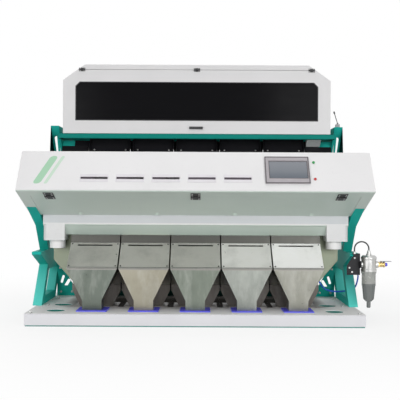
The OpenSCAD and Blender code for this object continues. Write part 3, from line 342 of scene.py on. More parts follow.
def plastic(name, colour, rough=0.45, grain=0.12, others=()):
    """Moulded plastic or rubber with a fine grain and faint rubbing."""
    mat, tree, shader = new_material(name)
    place = coords(tree)
    rub = noise(tree, place, scale=14, detail=5)
    tone = mottled(tree, rub, colour, dark=0.86, light=1.10)
    for other, mask in others:
        tone = mixed(tree, mask(tree), tone, other)
    tree.links.new(tone, shader.inputs["Base Color"])
    tree.links.new(spread(tree, rub, rough - 0.06, rough + 0.10), shader.inputs["Roughness"])
    bump(tree, shader, noise(tree, place, scale=900, detail=2), strength=grain, distance=0.0003)
    return mat


def trim_finish(name, colour, dark):
    """Moulded slot trim: pale on the fascia and dark inside the slot, where the dark is painted shade."""
    mat, tree, shader = new_material(name)
    outward = FASCIA.to_3x3() @ Vector((0, 0, 1))
    plane = outward.dot(FASCIA.translation)
    depth = tree.nodes.new("ShaderNodeVectorMath")
    depth.operation = "DOT_PRODUCT"
    tree.links.new(coords(tree), depth.inputs[0])
    depth.inputs[1].default_value = outward
    inside = map_range(tree, depth.outputs["Value"], plane + TRIM_DEPTH, plane - TRIM_DEPTH)
    rub = noise(tree, coords(tree), scale=14, detail=5)
    tone = mottled(tree, rub, colour, dark=0.94, light=1.03)
    tree.links.new(mixed(tree, inside, tone, dark), shader.inputs["Base Color"])
    tree.links.new(spread(tree, rub, 0.36, 0.50), shader.inputs["Roughness"])
    bump(tree, shader, noise(tree, coords(tree), scale=900, detail=2), strength=0.12, distance=0.0003)
    return mat


def metal(name, colour, rough=0.32):
    """Cast or turned metal with a fine satin grain."""
    mat, tree, shader = new_material(name)
    place = coords(tree)
    cloud = noise(tree, place, scale=24, detail=5)
    tree.links.new(mottled(tree, cloud, colour, dark=0.85, light=1.08), shader.inputs["Base Color"])
    shader.inputs["Metallic"].default_value = 1.0
    tree.links.new(spread(tree, cloud, rough - 0.06, rough + 0.12), shader.inputs["Roughness"])
    bump(tree, shader, noise(tree, place, scale=700, detail=3), strength=0.15, distance=0.0004)
    return mat


def dark_glass(name, colour):
    """Tinted window, glossy with faint wiping marks."""
    mat, tree, shader = new_material(name)
    smear = noise(tree, coords(tree, (1.2, 3.0, 5.0)), scale=3.0, detail=6, rough=0.7)
    shader.inputs["Base Color"].default_value = (*colour, 1)
    tree.links.new(spread(tree, smear, 0.10, 0.22), shader.inputs["Roughness"])
    shader.inputs["Specular IOR Level"].default_value = 0.03
    return mat


def clear(name, colour, rough=0.08, transmission=0.75):
    """Clear or hazy see-through polymer or glass."""
    mat, tree, shader = new_material(name)
    haze = noise(tree, coords(tree), scale=30)
    shader.inputs["Base Color"].default_value = (*colour, 1)
    tree.links.new(spread(tree, haze, rough, rough + 0.08), shader.inputs["Roughness"])
    shader.inputs["Transmission Weight"].default_value = transmission
    shader.inputs["IOR"].default_value = 1.49
    return mat


def display(name, low, high):
    """Unlit touch screen with a soft fade from its lower to its upper colour."""
    mat, tree, shader = new_material(name)
    height = axis_value(tree, "Z", *SCREEN_Z)
    tree.links.new(ramp(tree, height, [(0.0, low), (1.0, high)]), shader.inputs["Base Color"])
    haze = noise(tree, coords(tree), scale=40)
    tree.links.new(spread(tree, haze, 0.10, 0.18), shader.inputs["Roughness"])
    shader.inputs["Coat Weight"].default_value = 0.5
    shader.inputs["Coat Roughness"].default_value = 0.05
    return mat


WHITE = (0.76, 0.755, 0.76)
HOOD_WHITE = (0.70, 0.695, 0.70)
PLINTH_WHITE = (0.83, 0.83, 0.86)
LIT_WHITE = (0.93, 0.92, 0.92)
PALE = (0.66, 0.76, 0.69)
# Painted shade: the grey of the duct's front face under the console.
DUCT_SHADE = (0.60, 0.62, 0.64)
# Painted shade on the deck under the hoppers, and deeper painted shade between the rows.
UNDER_HOPPER_SHADE = (0.165, 0.155, 0.150)
DEEP_HOPPER_SHADE = (0.042, 0.039, 0.036)
GREEN = (0.022, 0.500, 0.425)
LIT_GREEN = (0.12, 0.72, 0.64)
SHADE_GREEN = (0.008, 0.235, 0.195)
ANGLE_SHADE_GREEN = (0.005, 0.050, 0.042)
UNDER_GREEN = (0.16, 0.40, 0.36)
STEEL = (0.60, 0.59, 0.55)
WIPE_AND_SHEEN_STEEL = (0.86, 0.86, 0.82)
LIP_STEEL = (0.30, 0.29, 0.27)
BEAD_STEEL = (0.30, 0.30, 0.28)
SHADED_STEEL = (0.083, 0.083, 0.076)
# Painted shade: the rear hoppers' steel is darkened as it lies in shade behind the front row.
SHADED_REAR_STEEL = (0.138, 0.123, 0.110)
LIT_FLOOR_STEEL = (0.88, 0.83, 0.77)
REAR_SEAL_SHADE = (0.26, 0.245, 0.235)
BLACK = (0.016, 0.016, 0.019)
BLUE = (0.13, 0.13, 0.90)
MATT_GREEN = dict(rough=0.50, dirt=0.10, gloss=0.04)
SOFT_RUBBER = dict(rough=0.50, grain=0.20)
SMOOTH_CAP = dict(rough=0.25, grain=0.04)
PRINT = dict(rough=0.40, peel=0.04)

FINISHES = {
    "white_paint": (paint, dict(colour=WHITE)),
    "hood_paint": (paint, dict(colour=HOOD_WHITE)),
    "port_paint": (paint, dict(colour=LIT_WHITE)),
    "two_tone": (paint, dict(colour=WHITE, others=((PALE, LOOKING_DOWN),))),
    "duct_paint": (paint, dict(colour=WHITE, others=((DUCT_SHADE, SHADED_DUCT_FACE), (PALE, LOOKING_DOWN)))),
    "deck_paint": (paint, dict(
        colour=PLINTH_WHITE, rough=0.55, gloss=0.0,
        others=((LIT_WHITE, LOOKING_UP), (UNDER_HOPPER_SHADE, SHADED_DECK), (DEEP_HOPPER_SHADE, DEEP_SHADED_DECK)))),
    "pale_paint": (paint, dict(colour=PALE)),
    "green_paint": (paint, dict(colour=GREEN, **MATT_GREEN)),
    "frame_green": (paint, dict(colour=GREEN, others=((LIT_GREEN, LEG_FRONT),), **MATT_GREEN)),
    "beam_green": (paint, dict(
        colour=GREEN, others=((BLACK, SHADED_CHUTE_BEAM), (ANGLE_SHADE_GREEN, SHADED_ANGLE_FRONT)), **MATT_GREEN)),
    "shade_green": (paint, dict(colour=SHADE_GREEN, rough=0.45, dirt=0.10, gloss=0.04)),
    "under_green": (paint, dict(
        colour=UNDER_GREEN, rough=0.50, gloss=0.04, others=((SHADE_GREEN, END_PLATES),))),
    "black_paint": (paint, dict(colour=BLACK, rough=0.42, dirt=0.25, gloss=0.25)),
    "stripe_green": (paint, dict(colour=(0.36, 0.60, 0.42), **PRINT)),
    "stripe_pale": (paint, dict(colour=(0.55, 0.70, 0.58), **PRINT)),
    "stainless": (stainless, dict(colour=STEEL)),
    "deflector_steel": (stainless, dict(colour=(0.215, 0.245, 0.200), rough=0.42)),
    "rear_steel": (lane_steel, dict(
        colours=[SHADED_REAR_STEEL] * LANES, metal_level=[0.40] * LANES, grain=UPRIGHT_GRAIN, rough=0.40,
        others=((LIT_FLOOR_STEEL, LIT_REAR_FLOOR),), wipes_and_sheen=0.12)),
    # Flaps 4 and 5 are paler and less metallic: a painted highlight of a bright light on the right.
    "flap_steel": (lane_steel, dict(
        colours=[(0.78, 0.735, 0.715), (0.77, 0.725, 0.705), (0.79, 0.745, 0.725), (0.90, 0.88, 0.86),
                 (0.97, 0.96, 0.95)],
        metal_level=[0.92, 0.92, 0.92, 0.42, 0.05], others=((BEAD_STEEL, FLAP_BEAD),))),
    # Each funnel's tone is a painted reflection of its surroundings.
    "funnel_steel": (lane_steel, dict(
        colours=[(0.165, 0.189, 0.165), (0.35, 0.33, 0.266), (0.204, 0.231, 0.197), (0.315, 0.335, 0.31),
                 (0.295, 0.295, 0.26)],
        metal_level=[1.0] * LANES, others=((SHADED_STEEL, HOPPER_FRONT), (LIP_STEEL, FUNNEL_LIP)), wipes_and_sheen=0.20)),
    "grey_metal": (metal, dict(colour=(0.56, 0.56, 0.55))),
    "lever_steel": (metal, dict(colour=(0.16, 0.16, 0.19), rough=0.36)),
    "brass": (metal, dict(colour=(0.62, 0.46, 0.20), rough=0.28)),
    "black_plastic": (plastic, dict(colour=(0.020, 0.020, 0.022))),
    "grey_plastic": (plastic, dict(colour=(0.40, 0.375, 0.395))),
    "gasket": (plastic, dict(colour=(0.105, 0.095, 0.105), rough=0.55, grain=0.20)),
    "blue_rubber": (plastic, dict(colour=BLUE, **SOFT_RUBBER)),
    "seals": (plastic, dict(colour=BLUE, others=((REAR_SEAL_SHADE, SHADED_REAR_SEALS),), **SOFT_RUBBER)),
    "air_tube": (plastic, dict(colour=(0.02, 0.16, 0.95), rough=0.30, grain=0.03, others=((BLACK, AIR_LOOP),))),
    "lamp": (plastic, dict(colour=(0.85, 0.85, 0.87), rough=0.30, grain=0.03)),
    "button_green": (plastic, dict(colour=(0.010, 0.30, 0.060), **SMOOTH_CAP)),
    "button_red": (plastic, dict(colour=(0.50, 0.012, 0.012), **SMOOTH_CAP)),
    "slot_trim": (trim_finish, dict(colour=(0.72, 0.70, 0.73), dark=(0.135, 0.115, 0.135))),
    "screen": (display, dict(low=(0.080, 0.100, 0.128), high=(0.120, 0.134, 0.160))),
    "dark_glass": (dark_glass, dict(colour=(0.006, 0.006, 0.007))),
    "clear_glass": (clear, dict(colour=(0.92, 0.97, 0.95), transmission=0.95)),
    "bowl": (clear, dict(colour=(0.62, 0.63, 0.60), rough=0.20, transmission=0.45)),
    "smoky": (clear, dict(colour=(0.26, 0.275, 0.27), rough=0.16, transmission=0.40)),
}
looks = {name: make(name, **values) for name, (make, values) in FINISHES.items()}


# CAD nodes: finish and softened edges

FINISH_OF = {
    "base_frame": "under_green", "base_plinth": "deck_paint", "side_frame_left": "frame_green",
    "side_frame_right": "frame_green", "top_frame": "shade_green", "cross_beams": "beam_green",
    "console_shell": "two_tone", "slot_trims": "slot_trim", "dust_duct": "duct_paint",
    "dust_ports": "port_paint", "front_hoppers": "funnel_steel", "rear_hoppers": "rear_steel",
    "end_deflectors": "deflector_steel", "spout_seals": "seals", "hood": "hood_paint",
    "top_door": "hood_paint", "junction_box": "white_paint", "filter_cup": "smoky",
    "valve_lever": "lever_steel", "air_tube": "air_tube",
}
FINISH_OF.update({f"flap_{i + 1}": "flap_steel" for i in range(LANES)})
EDGE = {
    "base_plinth": 0.0008, "console_shell": 0.003, "hood": 0.006, "top_door": 0.008, "dust_duct": 0.006,
    "side_frame_left": 0.003, "side_frame_right": 0.003, "screen_bezel": 0.003, "access_door": 0.0015,
    "filter_head": 0.004, "door_handle": 0.003,
}
EDGE_DEFAULT = 0.0012
EDGE_STEPS = 2
EDGE_ANGLE = math.radians(30)
FLAT_ANGLE = math.radians(0.6)
WELD_DISTANCE = 0.00002


def soften(obj, width):
    """Joins split corners, clears flat triangles and rounds the hard edges."""
    weld = obj.modifiers.new("weld", "WELD")
    weld.merge_threshold = WELD_DISTANCE
    flat = obj.modifiers.new("flat", "DECIMATE")
    flat.decimate_type = "DISSOLVE"
    flat.angle_limit = FLAT_ANGLE
    edge = obj.modifiers.new("edge", "BEVEL")
    edge.width = width
    edge.segments = EDGE_STEPS
    edge.limit_method = "ANGLE"
    edge.angle_limit = EDGE_ANGLE
    edge.use_clamp_overlap = True
    normal = obj.modifiers.new("normal", "WEIGHTED_NORMAL")
    normal.keep_sharp = False


slot_of = {row["node"]: row["material_slot"] for row in frame["record"]["subparts"]}
for name, obj in nodes.items():
    obj.data.materials.clear()
    obj.data.materials.append(looks[FINISH_OF.get(name, slot_of[name])])
    soften(obj, EDGE.get(name, EDGE_DEFAULT))


# Tools for new pieces

SHARP_ANGLE = math.radians(35)
CHAMFER_IN = 0.18
# Profiles of fasteners, as (share of the radius, share of the height)
PAN_HEAD = ((1.00, 0.00), (1.00, 0.45), (0.82, 0.85), (0.55, 1.00), (0.40, 1.00), (0.34, 0.45))
WASHER = ((1.50, 0.00), (1.50, 0.22), (1.38, 0.30), (1.05, 0.30))
HEX_HEAD = ((1.00, 0.25), (1.00, 0.85), (0.86, 1.00), (0.30, 1.00))
PAN_STEPS = 18
WASHER_STEPS = 22
HEX = 6


def mesh_object(name, bm, material, body):
    """A new piece from bm, riding on a body."""
    mesh = bpy.data.meshes.new(name)
    bmesh.ops.recalc_face_normals(bm, faces=bm.faces)
    bm.to_mesh(mesh)
    bm.free()
    mesh.polygons.foreach_set("use_smooth", [True] * len(mesh.polygons))
    mesh.set_sharp_from_angle(angle=SHARP_ANGLE)
    obj = bpy.data.objects.new(name, mesh)
    scene.collection.objects.link(obj)
    mesh.materials.append(looks[material])
    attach(obj, body)


def bridge(bm, loops, closed=False):
    """Faces between neighbouring loops of vertices, and from the last to the first if closed."""
    rows = list(zip(loops, loops[1:])) + ([(loops[-1], loops[0])] if closed else [])
    for a, b in rows:
        for i in range(len(a)):
            j = (i + 1) % len(a)
            bm.faces.new((a[i], a[j], b[j], b[i]))


def loft(bm, matrix, loops):
    """A closed body through loops of (x, y, z) points, with a cap at each end."""
    rings = [[bm.verts.new(matrix @ Vector(point)) for point in loop] for loop in loops]
    bridge(bm, rings)
    bm.faces.new(rings[0])
    bm.faces.new(rings[-1])


def lathe(bm, profile, matrix, steps):
    """Spins (radius, height) points about local Z."""
    turns = [math.tau * k / steps for k in range(steps)]
    loft(bm, matrix, [[(r * math.cos(t), r * math.sin(t), z) for t in turns] for r, z in profile])


def pan_screw(bm, matrix, r, h):
    """Pan head screw with a round socket."""
    lathe(bm, [(a * r, b * h) for a, b in PAN_HEAD], matrix, PAN_STEPS)


def hex_bolt(bm, matrix, r, h):
    """Hexagon head on a washer."""
    lathe(bm, [(a * r, b * h) for a, b in WASHER], matrix, WASHER_STEPS)
    lathe(bm, [(a * r, b * h) for a, b in HEX_HEAD], matrix, HEX)


def fasteners(name, frames, size, body, finish="grey_metal", make=pan_screw):
    """Fasteners of one (radius, height) size, one at each frame, as one piece."""
    bm = bmesh.new()
    for matrix in frames:
        make(bm, matrix, *size)
    mesh_object(name, bm, finish, body)


def rounded(x0, y0, x1, y1, r, steps=5):
    """A rectangle's outline with round corners, counterclockwise."""
    corners = [(x1 - r, y0 + r, -90), (x1 - r, y1 - r, 0), (x0 + r, y1 - r, 90), (x0 + r, y0 + r, 180)]
    turns = [(cx, cy, math.radians(a + 90 * k / steps)) for cx, cy, a in corners for k in range(steps + 1)]
    return [(cx + r * math.cos(t), cy + r * math.sin(t)) for cx, cy, t in turns]


def grown(box, by):
    x0, y0, x1, y1 = box
    return x0 - by, y0 - by, x1 + by, y1 + by


def flat_ring(bm, outer, inner, low, high, matrix, round_off):
    """A flat ring between two outlines of as many points, with chamfered upper edges."""
    def loop(outline, z, toward=None):
        points = [Vector(p) for p in outline]
        if toward:
            points = [p.lerp(Vector(q), CHAMFER_IN) for p, q in zip(points, toward)]
        return [bm.verts.new(matrix @ Vector((p.x, p.y, z))) for p in points]
    bridge(bm, [
        loop(outer, low), loop(outer, high - round_off), loop(outer, high, inner),
        loop(inner, high, outer), loop(inner, high - round_off), loop(inner, low)
    ], closed=True)


# Fascia: a rubber rim on the bezel, a bead around the screen, and a plain two-bar stripe
# Boxes on the fascia are (left, low, right, high).

BEZEL = (0.450, 0.061, 0.739, 0.281)
BEZEL_T = 0.010
SCREEN = (0.479, 0.103, 0.725, 0.243)
RIM_W = 0.007
RIM_T = 0.0015
RIM_EDGE = 0.0005
RIM_CORNER_OUT = 0.004
RIM_CORNER_IN = 0.006
BEAD_W = 0.004
BEAD_T = 0.0008
BEAD_EDGE = 0.0003
BEAD_CORNER_OUT = 0.003
BEAD_CORNER_IN = 0.002
FILM_T = 0.0004
STRIPE_V = (0.055, 0.285)
STRIPE_LEAN = 0.42
STRIPE_CORNER = 0.45
STRIPE_STEPS = 6
# Name, left edge, width and look of each bar
STRIPES = (
    ("stripe_wide", -1.050, 0.050, "stripe_green"),
    ("stripe_narrow", -0.978, 0.022, "stripe_pale"),
)


def make_screen_gasket():
    bm = bmesh.new()
    flat_ring(bm, rounded(*BEZEL, RIM_CORNER_OUT), rounded(*grown(BEZEL, -RIM_W), RIM_CORNER_IN),
              BEZEL_T, BEZEL_T + RIM_T, FASCIA, RIM_EDGE)
    flat_ring(bm, rounded(*grown(SCREEN, BEAD_W), BEAD_CORNER_OUT), rounded(*SCREEN, BEAD_CORNER_IN),
              BEZEL_T, BEZEL_T + BEAD_T, FASCIA, BEAD_EDGE)
    mesh_object("screen_gasket", bm, "gasket", "machine")


def make_stripe(name, x, width, material):
    """A slanted strip of film with rounded ends."""
    low, high = STRIPE_V
    outline = [(x + STRIPE_LEAN * (v - low) + dx, v)
               for dx, v in rounded(0, low, width, high, STRIPE_CORNER * width, STRIPE_STEPS)]
    bm = bmesh.new()
    loft(bm, FASCIA, [[(u, v, z) for u, v in outline] for z in (0, FILM_T)])
    mesh_object(name, bm, material, "machine")


make_screen_gasket()
for stripe in STRIPES:
    make_stripe(*stripe)


# Flaps: two screws at the top corners and two by the hinge

FLAP_W = PITCH - 0.010
FLAP_FACE = 0.0033
FLAP_LEN = math.dist(FOLD, FLAP_TOP)
FLAP_SCREW = (0.005, 0.003)
FLAP_SCREW_IN = 0.012
FLAP_SCREW_V = (0.022, FLAP_LEN - FLAP_SCREW_IN)

places = [(side * (FLAP_W / 2 - FLAP_SCREW_IN), v) for side in (-1, 1) for v in FLAP_SCREW_V]
for i in range(LANES):
    flap = slope_matrix(FOLD, FLAP_TOP, lane_x(i))
    fasteners(f"flap_screws_{i + 1}", [at(flap, u, v, FLAP_FACE) for u, v in places],
              FLAP_SCREW, f"flap_{i + 1}", "black_paint")


# Rubber strips in the gaps between the rear hoppers, set in from the hoppers' rear slope

STRIP_LOW = (-0.245, 0.200)
STRIP_HIGH = (0.190, 0.587)
STRIP_IN = 0.020
STRIP_DEPTH = 0.014
STRIP_CORNER = 0.003
STRIP_V = (0.010, math.dist(STRIP_LOW, STRIP_HIGH) - 0.025)


def make_lane_gaskets():
    section = rounded(-LANE_GAP / 2, STRIP_IN - STRIP_DEPTH, LANE_GAP / 2, STRIP_IN, STRIP_CORNER)
    bm = bmesh.new()
    for i in range(LANES - 1):
        slope = slope_matrix(STRIP_LOW, STRIP_HIGH, lane_x(i) + PITCH / 2)
        loft(bm, slope, [[(u, v, depth) for u, depth in section] for v in STRIP_V])
    mesh_object("lane_gaskets", bm, "black_plastic", "machine")


make_lane_gaskets()


# Slotted corner gussets, from the rear angle up to the side frames
# u runs inwards from the side frame and v up from the deck.

FRAME_IN = 1.081
GUSSET_T = 0.005
GUSSET_GAP = 0.0003
GUSSET_W = 0.160
GUSSET_H = 0.265
GUSSET_TIP = 0.022
GUSSET_EDGE = ((0, 0), (GUSSET_W, 0), (GUSSET_W, GUSSET_TIP), (GUSSET_TIP, GUSSET_H), (0, GUSSET_H))
GUSSET_BOLTS = ((0.030, 0.030), (0.115, 0.030), (0.022, 0.215))
GUSSET_BOLT = (0.0055, 0.005)
# Each slot's middle (u, v), length, width, and lean from upright in degrees
SLOTS = ((0.042, 0.128, 0.062, 0.018, 17), (0.080, 0.099, 0.066, 0.022, 31))
SLOT_CORNER = 0.49


def slot_outline(u, v, length, width, lean):
    """A leaning slot with round ends."""
    turn = math.radians(lean)
    return [(u + x * math.cos(turn) + y * math.sin(turn), v - x * math.sin(turn) + y * math.cos(turn))
            for x, y in rounded(-width / 2, -length / 2, width / 2, length / 2, SLOT_CORNER * width)]


def gusset(bm, side):
    """A triangular plate with two slots."""
    outlines = [GUSSET_EDGE] + [slot_outline(*slot) for slot in SLOTS]
    back = ANGLE_Y - GUSSET_GAP
    faces = []
    for y in (back, back - GUSSET_T):
        loops = [[bm.verts.new((side * (FRAME_IN - GUSSET_GAP - u), y, DECK_Z + v)) for u, v in outline]
                 for outline in outlines]
        rims = [bm.edges.new((a, b)) for loop in loops for a, b in zip(loop, loop[1:] + loop[:1])]
        bmesh.ops.triangle_fill(bm, edges=rims, use_beauty=True)
        faces.append(loops)
    for rear, front in zip(*faces):
        bridge(bm, [rear, front])


def make_gussets():
    bm = bmesh.new()
    for side in (-1, 1):
        gusset(bm, side)
    mesh_object("corner_gussets", bm, "green_paint", "machine")
    front = front_matrix(ANGLE_Y - GUSSET_GAP - GUSSET_T, DECK_Z)
    places = [(side * (FRAME_IN - u), v) for side in (-1, 1) for u, v in GUSSET_BOLTS]
    fasteners("gusset_bolts", [at(front, x, v) for x, v in places], GUSSET_BOLT, "machine", make=hex_bolt)


make_gussets()


# Underside door: quarter-turn latches and hinge screws

SEAM_V = 0.100
LEAF_T = 0.003
HINGE_X = (-0.950, 0.0, 0.950)
HINGE_SCREW = (0.005, 0.0025)
HINGE_SCREW_X = (-0.022, 0.022)
HINGE_SCREW_V = (0.020, 0.046)
LATCH_X = (-0.80, -0.27, 0.27, 0.80)
LATCH_V = 0.462
LATCH_COLLAR = ((0.016, 0), (0.016, 0.002), (0.013, 0.004), (0.010, 0.0045))
LATCH_STEPS = 28
WING_X = 0.009
WING_Y = 0.0025
# Scale and height of the wing's outline, from its foot to its chamfered top
WING_RISE = ((1.0, 0.004), (1.0, 0.008), (0.8, 0.009))


def latch(bm, matrix):
    """Quarter-turn latch: a domed collar and a wing across it."""
    lathe(bm, LATCH_COLLAR, matrix, LATCH_STEPS)
    wing = [(-WING_X, -WING_Y), (WING_X, -WING_Y), (WING_X, WING_Y), (-WING_X, WING_Y)]
    loft(bm, matrix, [[(x * k, y * k, z) for x, y in wing] for k, z in WING_RISE])


def make_latches():
    bm = bmesh.new()
    for x in LATCH_X:
        latch(bm, at(UNDERSIDE, x, -LATCH_V))
    mesh_object("door_latches", bm, "pale_paint", "access_door")


make_latches()
for name, body, side in (("hinge_screws_fixed", "machine", 1), ("hinge_screws_door", "access_door", -1)):
    places = [(x + dx, -SEAM_V + side * dv) for x in HINGE_X for dx in HINGE_SCREW_X for dv in HINGE_SCREW_V]
    fasteners(name, [at(UNDERSIDE, x, v, LEAF_T) for x, v in places], HINGE_SCREW, body)


# Hood and console: window lip, hinge screws and panel screws

DOOR_Y = 0.220
DOOR_FRONT = front_matrix(DOOR_Y)
DOOR_SKIN = 0.003
WINDOW_X = 0.939
WINDOW_Z = (1.455, 1.745)
WINDOW_CUT = 0.031
CUT_GROWTH = 0.41
# How far the lip's section reaches past the window, and its height on the door
LIP = ((0.006, 0.0), (0.005, 0.0016), (0.002, 0.0020), (-0.0005, 0.0004), (-0.0005, -DOOR_SKIN))
TOP_SEAM_Z = 1.845
TOP_HINGE_X = (-0.893, 0.0, 0.893)
TOP_SCREW = (0.003, 0.0018)
TOP_SCREW_X = (-0.016, 0.016)
TOP_SCREW_Z = 0.010
PANEL_SCREW = (0.006, 0.0035)
HOOD_X = 1.041
HOOD_SCREWS = [(y, z) for y in (0.30, 0.52, 0.74) for z in (1.375, 1.72)]
CONSOLE_X = 1.150
CONSOLE_SCREWS = ((-0.820, 0.925), (-0.700, 1.085), (-0.560, 0.835), (-0.500, 1.085))


def window_outline(grow):
    """The window's outline with its two cut upper corners, moved outwards."""
    x, low, high = WINDOW_X + grow, WINDOW_Z[0] - grow, WINDOW_Z[1] + grow
    cut = WINDOW_CUT + CUT_GROWTH * grow
    return [(-x, low), (x, low), (x, high - cut), (x - cut, high), (-x + cut, high), (-x, high - cut)]


def make_window_lip():
    bm = bmesh.new()
    bridge(bm, [[bm.verts.new(DOOR_FRONT @ Vector((x, z, depth))) for x, z in window_outline(grow)]
                for grow, depth in LIP], closed=True)
    mesh_object("window_lip", bm, "black_plastic", "top_door")


make_window_lip()
for name, body, side in (("top_screws_fixed", "machine", 1), ("top_screws_door", "top_door", -1)):
    places = [(x + dx, TOP_SEAM_Z + side * TOP_SCREW_Z) for x in TOP_HINGE_X for dx in TOP_SCREW_X]
    fasteners(name, [at(DOOR_FRONT, x, z, LEAF_T) for x, z in places], TOP_SCREW, body)
for name, x, places in (("hood_screws", HOOD_X, HOOD_SCREWS), ("console_screws", CONSOLE_X, CONSOLE_SCREWS)):
    fasteners(name, [side_matrix(side, x, y, z) for side in (-1, 1) for y, z in places], PANEL_SCREW, "machine")


# Chutes: two screws in each chute floor, seen in the gap above the console

CHUTE_EXIT = (0.2091, 0.900)
CHUTE_ANGLE = math.radians(60)
CHUTE_SCREW = (0.007, 0.004)
CHUTE_SCREW_X = 0.125
CHUTE_SCREW_V = 0.385

chute = Matrix.Translation((0, *CHUTE_EXIT)) @ Matrix.Rotation(CHUTE_ANGLE, 4, "X")
places = [lane_x(i) + side * CHUTE_SCREW_X for i in range(LANES) for side in (-1, 1)]
fasteners("chute_screws", [at(chute, x, CHUTE_SCREW_V) for x in places], CHUTE_SCREW, "machine")


# Air filter: bracket bolts, tube nuts and the push-in fitting

PLATE_Y = -0.403
PLATE_BOLTS = ((1.112, 0.434), (1.076, 0.366), (1.094, 0.336))
PLATE_BOLT = (0.0042, 0.004)
FILTER_X = 1.204
FILTER_Y = -0.433
TUBE_NUTS = ((FILTER_X, 0.476), (1.104, 0.466))
NUT = ((0.0115, 0), (0.0115, 0.009), (0.0105, 0.010), (0.0056, 0.010))
NUT_COLLAR = ((0.0085, 0.010), (0.0085, 0.016), (0.0075, 0.017), (0.0056, 0.017))
COLLAR_STEPS = 20
VALVE_END = 1.314
VALVE_Z = 0.392
FITTING = ((0.013, 0), (0.013, 0.012), (0.012, 0.013), (0.010, 0.013), (0.010, 0.017), (0.009, 0.018),
           (0.006, 0.018), (0.006, 0.010))
FITTING_STEPS = 24


def make_tube_nuts():
    bm = bmesh.new()
    for x, z in TUBE_NUTS:
        foot = Matrix.Translation((x, FILTER_Y, z))
        lathe(bm, NUT, foot, HEX)
        lathe(bm, NUT_COLLAR, foot, COLLAR_STEPS)
    mesh_object("tube_nuts", bm, "grey_metal", "machine")


def make_push_fitting():
    bm = bmesh.new()
    lathe(bm, FITTING, side_matrix(1, VALVE_END, FILTER_Y, VALVE_Z), FITTING_STEPS)
    mesh_object("push_fitting", bm, "blue_rubber", "machine")


plate = front_matrix(PLATE_Y)
fasteners("plate_bolts", [at(plate, x, z) for x, z in PLATE_BOLTS], PLATE_BOLT, "machine", make=hex_bolt)
make_tube_nuts()
make_push_fitting()


# Stage: a pale floor that keeps the shadow and glows to white far away, a white sky and four lamps

FLOOR_SIZE = 40.0
FLOOR_Z = -0.0005
FLOOR_BOUNCE = (0.42, 0.42, 0.42, 1)
FLOOR_SEEN = (0.95, 0.95, 0.95, 1)
FLOOR_ROUGH = 0.85
FLOOR_GLOW = 0.80
GLOW_NEAR = 1.7
GLOW_FAR = 3.4
SKY = (1, 1, 1, 1)
SKY_LIGHT = 0.38
SKY_SEEN = 1.0
# Name, place, aim, size and power of each lamp
LAMPS = (
    ("key", (2.6, -5.4, 1.7), (0, 0, 0.6), (3.0, 2.2), 116),
    ("fill", (-3.0, -5.0, 1.6), (0, 0, 0.6), (3.0, 2.2), 86),
    ("top", (0, -0.3, 4.8), (0, 0, 0.8), (4.0, 3.0), 52),
    ("back", (-1.2, 5.0, 4.4), (0, 0.4, 1.0), (3.6, 2.4), 150),
)


def seen_ray(tree):
    """1 for a ray from the camera, or one that metal or glass sends on."""
    path = tree.nodes.new("ShaderNodeLightPath").outputs
    value = path["Is Camera Ray"]
    for kind in ("Is Glossy Ray", "Is Transmission Ray"):
        value = math_node(tree, "MAXIMUM", value, path[kind])
    return value


def mixed_shader(tree, factor, a, b):
    node = tree.nodes.new("ShaderNodeMixShader")
    tree.links.new(factor, node.inputs["Fac"])
    tree.links.new(a.outputs[0], node.inputs[1])
    tree.links.new(b.outputs[0], node.inputs[2])
    return node


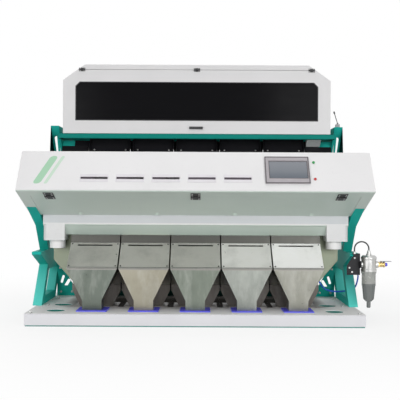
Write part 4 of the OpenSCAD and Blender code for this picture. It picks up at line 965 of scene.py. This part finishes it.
def floor_material():
    mat, tree, bounce = new_material("floor")
    bounce.inputs["Base Color"].default_value = FLOOR_BOUNCE
    bounce.inputs["Roughness"].default_value = FLOOR_ROUGH
    far = tree.nodes.new("ShaderNodeVectorMath")
    far.operation = "LENGTH"
    tree.links.new(coords(tree), far.inputs[0])
    fade = map_range(tree, far.outputs["Value"], GLOW_NEAR, GLOW_FAR, to_low=FLOOR_GLOW)
    pale = add(tree, "ShaderNodeBsdfDiffuse", Color=FLOOR_SEEN)
    glow = add(tree, "ShaderNodeEmission", Color=SKY, Strength=1.0)
    seen = mixed_shader(tree, fade, pale, glow)
    surface = mixed_shader(tree, seen_ray(tree), bounce, seen)
    tree.links.new(surface.outputs[0], tree.nodes["Material Output"].inputs["Surface"])
    return mat


def make_floor():
    bm = bmesh.new()
    bmesh.ops.create_grid(bm, x_segments=2, y_segments=2, size=FLOOR_SIZE / 2)
    mesh = bpy.data.meshes.new("floor")
    bm.to_mesh(mesh)
    bm.free()
    mesh.materials.append(floor_material())
    obj = bpy.data.objects.new("floor", mesh)
    obj.location = (0, 0, FLOOR_Z)
    scene.collection.objects.link(obj)


def make_world():
    world = bpy.data.worlds.new("studio")
    scene.world = world
    world.use_nodes = True
    tree = world.node_tree
    light = tree.nodes["Background"]
    light.inputs["Color"].default_value = SKY
    light.inputs["Strength"].default_value = SKY_LIGHT
    seen = add(tree, "ShaderNodeBackground", Color=SKY, Strength=SKY_SEEN)
    surface = mixed_shader(tree, seen_ray(tree), light, seen)
    tree.links.new(surface.outputs[0], tree.nodes["World Output"].inputs["Surface"])


def make_camera():
    data = bpy.data.cameras.new("camera")
    data.sensor_width = SENSOR_MM
    data.sensor_fit = "HORIZONTAL"
    data.lens = SENSOR_MM * FOCAL_PX / PHOTO_PX
    obj = bpy.data.objects.new("camera", data)
    level = Matrix.Rotation(math.pi / 2, 4, "X")
    obj.matrix_world = Matrix.Translation(CAMERA_AT) @ level @ Matrix.Rotation(CAMERA_ROLL, 4, "Z")
    scene.collection.objects.link(obj)
    scene.camera = obj


def make_lamp(name, place, aim, size, power):
    lamp = bpy.data.lights.new(name, "AREA")
    lamp.shape = "RECTANGLE"
    lamp.size, lamp.size_y = size
    lamp.energy = power
    obj = bpy.data.objects.new(name, lamp)
    obj.location = place
    obj.rotation_euler = (Vector(aim) - Vector(place)).to_track_quat("-Z", "Y").to_euler()
    scene.collection.objects.link(obj)


make_floor()
make_world()
make_camera()
for lamp in LAMPS:
    make_lamp(*lamp)

scene.view_settings.view_transform = "Standard"
